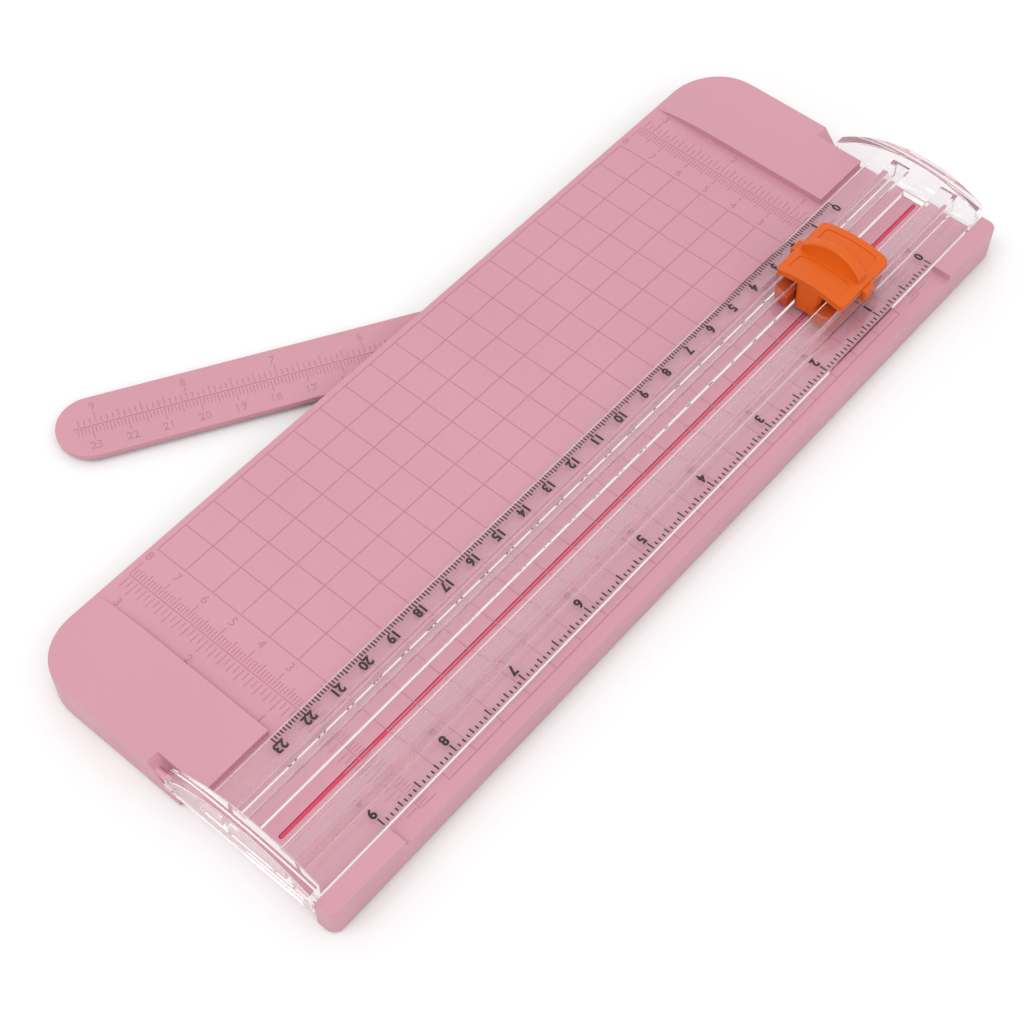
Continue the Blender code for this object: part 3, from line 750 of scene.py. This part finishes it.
def digits(entries, height, low, high, weight=0.0):
    """Raised numbers in one mesh. Each entry is (text, centre, turn about Z in degrees)."""
    bm = bmesh.new()
    for text, centre, turn in entries:
        curve = bpy.data.curves.new("digits", "FONT")
        curve.body = text
        curve.size = height / CAPITAL_SHARE
        curve.extrude = (high - low) / 2
        curve.offset = weight
        curve.resolution_u = 3
        curve.align_x = "CENTER"
        obj = bpy.data.objects.new("digits", curve)
        bpy.context.scene.collection.objects.link(obj)
        bpy.context.view_layer.update()
        evaluated = obj.evaluated_get(bpy.context.evaluated_depsgraph_get())
        mesh = bpy.data.meshes.new_from_object(evaluated)
        mesh.transform(Matrix.Translation((0.0, -height / 2, 0.0)))
        mesh.transform(Matrix.Rotation(radians(turn), 4, "Z"))
        mesh.transform(Matrix.Translation((centre[0], centre[1], (low + high) / 2)))
        bm.from_mesh(mesh)
        bpy.data.objects.remove(obj)
        bpy.data.meshes.remove(mesh)
        bpy.data.curves.remove(curve)
    bmesh.ops.remove_doubles(bm, verts=bm.verts, dist=0.0005)
    return bm


def end_scale_digits(z):
    """The engraved numbers of both end scales, which stand with their heads towards -X."""
    entries = []
    for side in (-1, 1):
        for step in MAT_CM_NUMBERS:
            entries.append((str(abs(step)), (side * MAT_CM_NUMBER_X, 10.0 * step), 90))
        for step in MAT_INCH_NUMBERS:
            entries.append((str(abs(step)), (side * MAT_INCH_NUMBER_X, INCH * step), 90))
    return digits(entries, NUMBER_HEIGHT, *z)


def engrave_mat(base):
    """Cuts each set of marks into the mat, and fills it to just below the surface with a darker pink. The
    cuts are real; the darker pink is painted shade for the shade the grooves hold.
    """
    cutters = (lines_across, lines_along, end_scale_ticks, end_scale_digits)
    for number, marks in enumerate(cutters):
        cut(base, marks((MAT_Z - GROOVE_DEPTH, MAT_Z + 1.0)))
        # The filling's darker pink is painted shade, put where the grooves' own shade would fall
        top = MAT_Z - GROOVE_SHADE_DROP - GROOVE_SHADE_STEP * number
        filling = marks((MAT_Z - GROOVE_DEPTH + 0.01, top))
        groove_shade = add_object(f"mat_{marks.__name__}", filling, GROOVE_SHADE_PINK)
        finish_piece(groove_shade, "base", "pink_plastic")


def shape_the_top(base):
    """The curved blocks, the mat, the rail's bed and the end notches, with rounded edges."""
    end = BASE_HIGH.x + CLEAR_OF_PART
    cut(base, above_the_block_curve())
    cut(base, mat_recess())
    cut(base, box((-end, end), RAIL_BED_Y, (MAT_Z, BASE_HIGH.z + CLEAR_OF_PART)))
    cut(base, end_pocket(-1))
    cut(base, end_pocket(1))
    bevel(base, TOP_EDGE_BEVEL, 5, 60)


def hollow_the_underside(base):
    """The ruler's bay and the ribs, with the bosses that hold the feet and the ruler's screw."""
    cut(base, ruler_bay())
    cut(base, rib_cells())
    slot_y = (BASE_LOW.y - CLEAR_OF_PART, BASE_LOW.y + WALL + 1.0)
    cut(base, box(RULER_SLOT_X, slot_y, (UNDER_FLOOR_Z, RULER_BAY_TOP_Z)))
    for place in foot_centres():
        join(base, disc(place, FOOT_BOSS_R, BASE_LOW.z + 0.01, CEILING_Z + 0.5))
        cut(base, disc(place, FOOT_R + GAP, UNDER_FLOOR_Z, FOOT_TOP_Z + GAP))
    join(base, disc(PIVOT, PIVOT_BOSS_R, RULER_BAY_TOP_Z, CEILING_Z + 0.5))
    cut(base, disc(PIVOT, PIVOT_BORE_R, UNDER_FLOOR_Z, CEILING_Z + 0.6))


def build_base():
    base = add_object("trimmer_base", prism(base_outline(), "Z", BASE_LOW.z, BASE_HIGH.z), PINK)
    shape_the_top(base)
    hollow_the_underside(base)
    groove = STRIP_HALF_WIDTH + STRIP_CLEARANCE
    slot_x = (STRIP_LOW.x - GAP, STRIP_HIGH.x + GAP)
    cut(base, rounded_box(slot_x, (-groove, groove), (STRIP_LOW.z - GAP, BASE_HIGH.z), STRIP_SLOT_R))
    far_pin = (POCKET_RAMP_Y[0] - 0.5, RAIL_LOW.y + HOOK_WIDTH)
    near_pin = (RAIL_HIGH.y - HOOK_WIDTH, RAIL_BED_Y[1] + 1.0)
    for low, high in (far_pin, near_pin):
        join(base, disc((HINGE_X, HINGE_Z), HINGE_PIN_R, low, high, 48, "Y"))
    engrave_mat(base)
    finish_piece(base, "base", "pink_plastic", "base_shell")


def build_strip():
    """The cutting strip, with a rounded top."""
    half = STRIP_HALF_WIDTH
    level = STRIP_HIGH.z - STRIP_CROWN
    crown = arc((0.0, level), half, 20, 160, 12)
    squashed = [(y, level + (z - level) * STRIP_CROWN_FLATTENING) for y, z in crown]
    profile = [(-half, STRIP_LOW.z), (half, STRIP_LOW.z)] + squashed
    strip = add_object("red_cutting_strip", prism(profile, "X", STRIP_LOW.x, STRIP_HIGH.x), RED)
    finish_piece(strip, "base", "red_strip", "cutting_strip")


def build_feet():
    """Rubber feet with a rounded tread edge and a shallow dished centre."""
    for number, centre in enumerate(foot_centres(), 1):
        profile = [(0.0, FOOT_DISH_DEPTH), (FOOT_DISH_R - 0.5, FOOT_DISH_DEPTH), (FOOT_DISH_R, 0.0)]
        profile += arc((FOOT_R - FOOT_EDGE_R, FOOT_EDGE_R), FOOT_EDGE_R, -90, 0, 6)
        profile += [(FOOT_R, FOOT_TOP_Z), (0.0, FOOT_TOP_Z)]
        foot = add_object(f"foot_pad_{number}", lathe(profile, centre), RUBBER)
        finish_piece(foot, "base", "foot_rubber", f"rubber_foot_{number}")


# Rail

def channel_half(side):
    """One side of the rail: its flange, the channel's wall and the lip over the shoe."""
    flange_edge = RAIL_HIGH.y if side > 0 else RAIL_NEAR_EDGE_Y
    wall_inner = CHANNEL_OUTER_Y - CHANNEL_WALL
    lip_bottom = RAIL_TOP_Z - LIP_THICKNESS
    points = (
        (BLADE_SLOT_Y, FLANGE_Z[0]),
        (flange_edge, FLANGE_Z[0]),
        (flange_edge, FLANGE_Z[1]),
        (CHANNEL_OUTER_Y, FLANGE_Z[1]),
        (CHANNEL_OUTER_Y, RAIL_TOP_Z),
        (LIP_INNER_Y, RAIL_TOP_Z),
        (LIP_INNER_Y, lip_bottom),
        (wall_inner, lip_bottom),
        (wall_inner, FLANGE_Z[1]),
        (BLADE_SLOT_Y, FLANGE_Z[1]),
    )
    outline = rounded([(side * y, z) for y, z in points], RAIL_EDGE_R, 4)
    return prism(outline, "X", -BAR_X[-1][0] - 1.0, BAR_X[1][0] + 1.0)


def end_bar(side):
    """An arched bar across one end of the rail, with softened edges."""
    top = []
    steps = 48
    for i in range(steps + 1):
        y = RAIL_HIGH.y + (RAIL_LOW.y - RAIL_HIGH.y) * i / steps
        top.append((y, ARCH_TOP_Z - ARCH_R + sqrt(ARCH_R * ARCH_R - (y - ARCH_Y) ** 2)))
    low, high = sorted(side * x for x in BAR_X[side])
    bm = prism([(RAIL_LOW.y, BAR_BOTTOM_Z), (RAIL_HIGH.y, BAR_BOTTOM_Z)] + top, "X", low, high)
    bmesh.ops.recalc_face_normals(bm, faces=bm.faces)
    sharp = [edge for edge in bm.edges if edge.calc_face_angle() > radians(60)]
    bmesh.ops.bevel(bm, geom=sharp, offset=BAR_EDGE_R, segments=4, profile=0.5, affect="EDGES")
    return bm


def build_rail():
    rail = add_object("clear_rail_moulding", end_bar(1), CLEAR)
    join(rail, end_bar(-1))
    join(rail, channel_half(-1))
    join(rail, channel_half(1))
    for side in (-1, 1):
        inner = BAR_X[side][0] - BRIDGE_LENGTH
        x = sorted((side * inner, side * (BAR_X[side][0] + 1.0)))
        join(rail, box(x, (-BLADE_SLOT_Y - 0.5, BLADE_SLOT_Y + 0.5), FLANGE_Z))
    half_mouth = HOOK_MOUTH / 2
    for low, high in ((RAIL_LOW.y, RAIL_LOW.y + HOOK_WIDTH), (RAIL_HIGH.y - HOOK_WIDTH, RAIL_HIGH.y)):
        hinge = (HINGE_X, HINGE_Z)
        join(rail, disc(hinge, HOOK_R, low + 0.05, high - 0.05, 48, "Y"))
        cut(rail, disc(hinge, HINGE_BORE_R, low - 0.6, high + 0.6, 48, "Y"))
        mouth_x = (HINGE_X - half_mouth, HINGE_X + half_mouth)
        cut(rail, box(mouth_x, (low - 0.6, high + 0.6), (HINGE_Z - 2 * HOOK_R - 0.2, HINGE_Z)))
    finish_piece(rail, "rail", "clear_plastic", "clear_rail")


def ink_tick(x, width, y, bm):
    low = FLANGE_Z[1] + INK_LIFT
    box((x - width / 2, x + width / 2), y, (low, low + INK_HEIGHT), bm)


def print_scales():
    """The two printed scales, on top of the rail's flanges."""
    ticks = bmesh.new()
    for step in range(10 * SCALE_CM + 1):
        y = (CM_SCALE_Y, CM_SCALE_Y + tick_length(step, PRINTED_CM_TICKS))
        ink_tick(CM_ZERO_X + step, CM_TICK_WIDTH, y, ticks)
    for step in range(16 * SCALE_INCHES + 1):
        y = (INCH_SCALE_Y - tick_length(step, PRINTED_INCH_TICKS), INCH_SCALE_Y)
        ink_tick(INCH_ZERO_X + step * INCH / 16, INCH_TICK_WIDTH, y, ticks)
    finish_piece(add_object("printed_ticks", ticks, INK), "rail", "clear_plastic")
    entries = [(str(n), (CM_ZERO_X + 10 * n, CM_NUMBER_Y), 0) for n in range(SCALE_CM + 1)]
    entries += [(str(n), (INCH_ZERO_X + INCH * n, INCH_NUMBER_Y), 0) for n in range(SCALE_INCHES + 1)]
    low = FLANGE_Z[1] + INK_LIFT
    numbers = digits(entries, NUMBER_HEIGHT, low, low + INK_HEIGHT, INK_WEIGHT)
    finish_piece(add_object("printed_numbers", numbers, INK), "rail", "clear_plastic")


# Ruler

def ruler_place(bm):
    """Turns a mesh drawn along +X from the pivot into the ruler's own place."""
    bm.transform(Matrix.Translation((*PIVOT, 0.0)) @ Matrix.Rotation(RULER_REST, 4, "Z"))
    return bm


def ruler_ticks():
    """The ruler's scales: both count from the cut line when the ruler stands square to it."""
    bm = bmesh.new()
    z = (RULER_Z[1] - GROOVE_DEPTH, RULER_Z[1] + 1.0)
    half = RULER_TICK_HALF_WIDTH
    start = RULER_TICK_START
    for step in RULER_CM_STEPS:
        x = step + PIVOT[1]
        box((x - half, x + half), (start, start + tick_length(step, RULER_CM_TICKS)), z, bm)
    for step in RULER_INCH_STEPS:
        x = step * INCH / 16 + PIVOT[1]
        box((x - half, x + half), (-start - tick_length(step, RULER_INCH_TICKS), -start), z, bm)
    return bm


def build_ruler():
    outline = arc((0.0, 0.0), RULER_HALF_WIDTH, 90, 270, 32)
    outline += arc((RULER_REACH - RULER_HALF_WIDTH, 0.0), RULER_HALF_WIDTH, -90, 90, 32)
    ruler = add_object("swing_out_ruler", ruler_place(prism(outline, "Z", *RULER_Z)), PINK)
    bevel(ruler, RULER_EDGE_R, 4)
    cut(ruler, ruler_place(disc((0.0, 0.0), RULER_HOLE_R, 0.0, 5.0)))
    cut(ruler, ruler_place(disc((0.0, 0.0), COUNTERBORE_R, 0.0, COUNTERBORE_Z)))
    z = (RULER_Z[1] - GROOVE_DEPTH, RULER_Z[1] + 1.0)
    cut(ruler, ruler_place(box(RULER_LINE_X, (-RULER_LINE_HALF_WIDTH, RULER_LINE_HALF_WIDTH), z)))
    cut(ruler, ruler_place(ruler_ticks()))
    entries = [(str(n), (10.0 * n + PIVOT[1], RULER_NUMBER_Y), 180) for n in RULER_CM_NUMBERS]
    entries += [(str(n), (INCH * n + PIVOT[1], -RULER_NUMBER_Y), 180) for n in RULER_INCH_NUMBERS]
    cut(ruler, ruler_place(digits(entries, RULER_NUMBER_HEIGHT, *z)))
    finish_piece(ruler, "ruler", "pink_plastic", "swing_ruler")


def shoulder_screw():
    """The screw's round shape, from the middle of its head to the end of its thread."""
    bottom = SCREW_HEAD_BOTTOM_Z
    edge = SCREW_HEAD_EDGE_R
    head_top = COUNTERBORE_Z - 1.0
    shoulder_top = RULER_BAY_TOP_Z - GAP
    profile = [(0.0, bottom), (SCREW_HEAD_R - edge - 0.1, bottom)]
    profile += arc((SCREW_HEAD_R - edge, bottom + edge), edge, -90, 0, 5)
    profile += [(SCREW_HEAD_R, head_top), (SCREW_SHOULDER_R, head_top)]
    profile += [(SCREW_SHOULDER_R, shoulder_top), (SCREW_THREAD_R, shoulder_top)]
    profile += [(SCREW_THREAD_R, SCREW_TOP_Z), (0.0, SCREW_TOP_Z)]
    return lathe(profile, PIVOT)


def washer(node, outer):
    """A flat ring with slightly broken edges."""
    low, high = box_mm(node)
    inner = WASHER_HOLE_R
    edge = WASHER_EDGE
    profile = [(inner, low.z + edge), (inner + edge, low.z), (outer - edge, low.z), (outer, low.z + edge)]
    profile += [(outer, high.z - edge), (outer - edge, high.z)]
    profile += [(inner + edge, high.z), (inner, high.z - edge)]
    return lathe(profile, PIVOT)


def build_ruler_pivot():
    screw = add_object("shoulder_screw", shoulder_screw(), PLATED)
    for half_x, half_y in (SCREW_CROSS, SCREW_CROSS[::-1]):
        x = (PIVOT[0] - half_x, PIVOT[0] + half_x)
        y = (PIVOT[1] - half_y, PIVOT[1] + half_y)
        cut(screw, rounded_box(x, y, (0.0, SCREW_CROSS_DEPTH_Z), 0.2, 3))
    finish_piece(screw, "base", "steel", "pivot_screw")
    for node, outer in (("pivot_washer", 4.2), ("friction_washer", 5.0)):
        finish_piece(add_object(f"{node}_ring", washer(node, outer), PLATED), "base", "steel", node)


# Cutter

def crown_arc(y, half, edge_z, centre_z):
    """The height at y of an arc that rises from edge_z at its ends, half away, to centre_z in the middle."""
    rise = centre_z - edge_z
    radius = (half * half + rise * rise) / (2 * rise)
    return centre_z - radius + sqrt(radius * radius - y * y)


def across(half, steps):
    """Evenly spaced places from one side to the other."""
    return [-half + 2 * half * i / steps for i in range(steps + 1)]


def arched_band(half, top_drop, height, x, steps=40):
    """A band across the rail that follows the plate's arch: its top lies top_drop below the arch."""
    top = []
    for y in across(half, steps):
        top.append((y, crown_arc(y, PLATE_HALF_WIDTH, PLATE_EDGE_Z, PLATE_CENTRE_Z) - top_drop))
    bottom = [(y, z - height) for y, z in reversed(top)]
    return prism(top + bottom, "X", CUTTER_X + x[0], CUTTER_X + x[1])


def panel_space(x):
    """The space over one shallow panel in the arched top, with rounded corners."""
    half = PANEL_HALF_WIDTH
    world_x = (CUTTER_X + x[0], CUTTER_X + x[1])
    z = (PLATE_BOTTOM_Z, PLATE_CENTRE_Z + CLEAR_OF_PART)
    tool = add_object("panel", rounded_box(world_x, (-half, half), z, PANEL_CORNER_R))
    cut(tool, arched_band(half + 1.0, PANEL_DEPTH, 9.0, (x[0] - 2.0, x[1] + 2.0)))
    bm = bmesh.new()
    bm.from_mesh(tool.data)
    bm.transform(Matrix.Scale(1 / MM, 4))
    bpy.data.objects.remove(tool)
    return bm


def fin_section(y, inset):
    """The fin's outline at one place across it, drawn in by the inset. Its front is scooped near the top."""
    share = 1 - (y / FIN_HALF_WIDTH) ** 2
    foot_x = FIN_FRONT_X + FIN_FOOT_BULGE * share - inset
    top_x = FIN_FRONT_X - FIN_TOP_HOLLOW * share - inset
    back_x = FIN_BACK_X + inset
    top_z = crown_arc(y, FIN_HALF_WIDTH, FIN_END_Z, FIN_TOP_Z) - inset
    steps = 8
    face = []
    for i in range(steps):
        rise = i / steps
        x = foot_x + (top_x - foot_x) * (1 - (1 - rise) ** 2)
        face.append((CUTTER_X + x, FIN_FOOT_Z + (top_z - FIN_FOOT_Z) * rise))
    r = FIN_EDGE_R
    front_edge = arc((CUTTER_X + top_x - r, top_z - r), r, 0, 90, 5)
    back_edge = arc((CUTTER_X + back_x + r, top_z - r), r, 90, 180, 5)
    return face[:-1] + front_edge + back_edge + [(CUTTER_X + back_x - 0.3, FIN_FOOT_Z)]


def fin_stations():
    """Places across the fin with the inset at each, which rounds off its blunt ends."""
    r = FIN_EDGE_R
    flat = FIN_HALF_WIDTH - r
    ends = [(flat + r * sin(radians(a)), r * (1 - cos(radians(a)))) for a in (15, 30, 45, 60, 75, 90)]
    middle = [(y, 0.0) for y in across(flat, 40)]
    return [(-y, inset) for y, inset in reversed(ends)] + middle + ends


def finger_fin():
    """The fin that the finger pushes, blunt at both ends."""
    return loft([[(x, y, z) for x, z in fin_section(y, inset)] for y, inset in fin_stations()])


def side_clip(side):
    """A clip that hangs from the plate's side, outside the rail's wall."""
    profile = (
        (PLATE_HALF_WIDTH - 0.5, CLIP_TOP_Z),
        (PLATE_HALF_WIDTH - 0.5, PLATE_BOTTOM_Z + 0.02),
        (CLIP_INNER_Y, PLATE_BOTTOM_Z + 0.02),
        (CLIP_INNER_Y, CLIP_BOTTOM_Z),
        (CLIP_OUTER_Y, CLIP_BOTTOM_Z),
        (CLIP_OUTER_Y, CLIP_TOP_Z),
    )
    x = (CUTTER_X - CLIP_HALF_LENGTH, CUTTER_X + CLIP_HALF_LENGTH)
    bm = prism([(side * y, z) for y, z in profile], "X", *x)
    bmesh.ops.recalc_face_normals(bm, faces=bm.faces)
    outer = [edge for edge in bm.edges if all(abs(v.co.y) > CLIP_INNER_Y + 0.1 for v in edge.verts)]
    bmesh.ops.bevel(bm, geom=outer, offset=CLIP_EDGE_R, segments=4, profile=0.5, affect="EDGES")
    return bm


def stem_block(x):
    """The stem before it is hollowed, rounded at its corners and round its foot."""
    foot = STEM_FOOT_R
    levels = [(foot * (1 - sin(radians(a))), foot * (1 - cos(radians(a)))) for a in range(0, 91, 15)]
    levels.append((0.0, STEM_CEILING_Z + 0.6 - STEM_BOTTOM_Z))
    sections = []
    for inset, rise in levels:
        low, high = x[0] + inset, x[1] - inset
        side = STEM_HALF_WIDTH - inset
        corners = ((low, -side), (high, -side), (high, side), (low, side))
        outline = rounded(corners, STEM_CORNER_R - inset, 6)
        sections.append([(*point, STEM_BOTTOM_Z + rise) for point in outline])
    return loft(sections)


def add_stem(head):
    """The hollow stem under the plate, with windows for the shoe's cross bars."""
    stem_x = (CUTTER_X + STEM_X[0], CUTTER_X + STEM_X[1])
    join(head, stem_block(stem_x))
    bore = STEM_HALF_WIDTH - STEM_WALL
    inside_x = (stem_x[0] + STEM_WALL, stem_x[1] - STEM_WALL)
    cut(head, box(inside_x, (-bore, bore), (STEM_BOTTOM_Z - 1.0, STEM_CEILING_Z)))
    for side in (-1, 1):
        middle = CUTTER_X + STEM_CENTRE_X + side * CROSS_BAR_X
        x = (middle - CROSS_BAR_HALF - GAP, middle + CROSS_BAR_HALF + GAP)
        z = (SHOE_LOW.z - GAP, CROSS_BAR_TOP_Z + PRESS_TRAVEL + GAP)
        cut(head, box(x, (-STEM_HALF_WIDTH - 2.0, STEM_HALF_WIDTH + 2.0), z))


def build_head():
    half = PLATE_HALF_WIDTH
    height = PLATE_EDGE_Z - PLATE_BOTTOM_Z
    head = add_object("orange_cutter_head", arched_band(half, 0.0, height, PLATE_X), ORANGE)
    plate_x = (CUTTER_X + PLATE_X[0], CUTTER_X + PLATE_X[1])
    z = (PLATE_BOTTOM_Z - CLEAR_OF_PART, PLATE_CENTRE_Z + CLEAR_OF_PART)
    combine(head, rounded_box(plate_x, (-half, half), z, PLATE_CORNER_R, 8), "INTERSECT")
    bevel(head, PLATE_EDGE_R, 4, 50)
    hollow_x = (PLATE_X[0] + SKIRT_WALL, PLATE_X[1] - SKIRT_WALL)
    cut(head, arched_band(half - SKIRT_WALL, PLATE_THICKNESS, height, hollow_x))
    cut(head, panel_space((FIN_FRONT_X + FIN_FOOT_BULGE + 0.5, PLATE_X[1] - PANEL_MARGIN)))
    cut(head, panel_space((PLATE_X[0] + PANEL_MARGIN, FIN_BACK_X - 1.2)))
    join(head, finger_fin())
    add_stem(head)
    for side in (-1, 1):
        join(head, side_clip(side))
    finish_piece(head, "cutter", "orange_plastic", "cutter_head")


def build_shoe():
    """The guide shoe: two runners under the lips, closed behind, with two cross bars for the springs."""
    x = (SHOE_LOW.x, SHOE_HIGH.x)
    y = (SHOE_LOW.y, SHOE_HIGH.y)
    block = rounded_box(x, y, (SHOE_LOW.z, SHOE_HIGH.z), SHOE_CORNER_R)
    shoe = add_object("orange_guide_shoe", block, SHOE_ORANGE)
    bevel(shoe, SHOE_EDGE_R, 3)
    slot = STEM_HALF_WIDTH + GAP
    rear = CUTTER_X + STEM_X[0] - GAP
    front = x[1] + CLEAR_OF_PART
    centre = CUTTER_X + STEM_CENTRE_X
    outer = CROSS_BAR_X + CROSS_BAR_HALF
    inner = CROSS_BAR_X - CROSS_BAR_HALF
    cut(shoe, rounded_box((rear, front), (-slot, slot), (CROSS_BAR_TOP_Z, SHOE_HIGH.z + 3.0), 1.2))
    z = (SHOE_LOW.z - 2.0, CROSS_BAR_TOP_Z + 1.0)
    for bay in ((rear, centre - outer), (centre - inner, centre + inner), (centre + outer, front)):
        cut(shoe, rounded_box(bay, (-slot, slot), z, 0.4))
    finish_piece(shoe, "carriage", "orange_plastic", "guide_shoe")


def coil_sections(centre, low_z, height):
    """The wire's section at each step along a spring whose first and last turns lie almost flat."""
    sections = []
    steps = SPRING_TURNS * SPRING_STEPS_A_TURN
    rise = height - 2 * SPRING_WIRE_R
    for i in range(steps + 1):
        share = i / steps
        angle = 2 * pi * SPRING_TURNS * share
        open_share = (share - SPRING_CLOSED_SHARE) / (1 - 2 * SPRING_CLOSED_SHARE)
        eased = min(1.0, max(0.0, open_share))
        climb = SPRING_CLOSED_RISE * share + (1 - SPRING_CLOSED_RISE) * eased
        z = low_z + SPRING_WIRE_R + rise * climb
        section = []
        for k in range(SPRING_WIRE_SIDES):
            turn = 2 * pi * k / SPRING_WIRE_SIDES
            reach = SPRING_R + SPRING_WIRE_R * cos(turn)
            x = centre[0] + reach * cos(angle)
            y = centre[1] + reach * sin(angle)
            section.append((x, y, z + SPRING_WIRE_R * sin(turn)))
        sections.append(section)
    return sections


def build_springs():
    """Compression springs, built at their resting length. The real ones shorten by the press travel when the
    cutter is pushed down.
    """
    for node in ("spring_front", "spring_rear"):
        low, high = box_mm(node)
        centre = ((low.x + high.x) / 2, (low.y + high.y) / 2)
        height = high.z - low.z
        wire = loft(coil_sections(centre, low.z, height))
        coil = finish_piece(add_object(f"{node}_coil", wire, WIRE), "carriage", "steel", node)
        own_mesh(coil)


def dress_small_nodes():
    """Small pieces whose CAD shape is already right take their finished materials."""
    finishes = {"blade_holder": SHOE_ORANGE, "blade": GROUND, "blade_pin": PLATED}
    for node, material in finishes.items():
        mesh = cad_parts[node].data
        mesh.materials.clear()
        mesh.materials.append(material)


# Stage

def build_stage():
    """A plain pale floor."""
    bm = bmesh.new()
    bmesh.ops.create_grid(bm, x_segments=1, y_segments=1, size=FLOOR_REACH)
    floor = add_object("studio_floor", bm)
    material, tree, shader = new_material("studio_paper")
    mottle = noise(tree, 6.0, 3.0)
    stops = [(0.3, (0.79, 0.79, 0.79)), (0.7, (0.81, 0.81, 0.81))]
    tree.links.new(ramp(tree, mottle, stops), shader.inputs["Base Color"])
    shader.inputs["Roughness"].default_value = 0.9
    shader.inputs["Specular IOR Level"].default_value = 0.1
    floor.data.materials.append(material)


def add_area(name, place, size, energy):
    light = bpy.data.lights.new(name, "AREA")
    light.shape = "RECTANGLE"
    light.size, light.size_y = size
    light.energy = energy
    obj = bpy.data.objects.new(name, light)
    obj.location = place
    obj.rotation_euler = (Vector(LAMP_AIM) - Vector(place)).to_track_quat("-Z", "Y").to_euler()
    bpy.context.scene.collection.objects.link(obj)


def build_lights():
    """A white surround with a soft key lamp and a weaker fill."""
    world = bpy.data.worlds.new("studio")
    world.use_nodes = True
    background = world.node_tree.nodes["Background"]
    background.inputs["Color"].default_value = (1.0, 1.0, 1.0, 1.0)
    background.inputs["Strength"].default_value = WORLD_STRENGTH
    bpy.context.scene.world = world
    add_area("key", (1.1, -0.3, 2.2), (1.4, 1.4), 18.0)
    add_area("fill", (0.4, 1.6, 1.6), (1.2, 1.0), 6.0)
    bpy.context.scene.view_settings.view_transform = "Standard"


def build_camera():
    """A camera at the object's far right, looking down the rail."""
    data = bpy.data.cameras.new("camera")
    data.lens = CAMERA_LENS
    data.sensor_width = 36.0
    data.clip_start = 0.01
    camera = bpy.data.objects.new("camera", data)
    camera.location = CAMERA_LOCATION
    level = Vector(CAMERA_DIRECTION).to_track_quat("-Z", "Y")
    camera.rotation_euler = (level @ Quaternion((0.0, 0.0, 1.0), CAMERA_ROLL)).to_euler()
    bpy.context.scene.collection.objects.link(camera)
    bpy.context.scene.camera = camera


build_camera()
build_stage()
build_lights()
build_base()
build_strip()
build_feet()
build_rail()
print_scales()
build_ruler()
build_ruler_pivot()
build_head()
build_shoe()
build_springs()
dress_small_nodes()
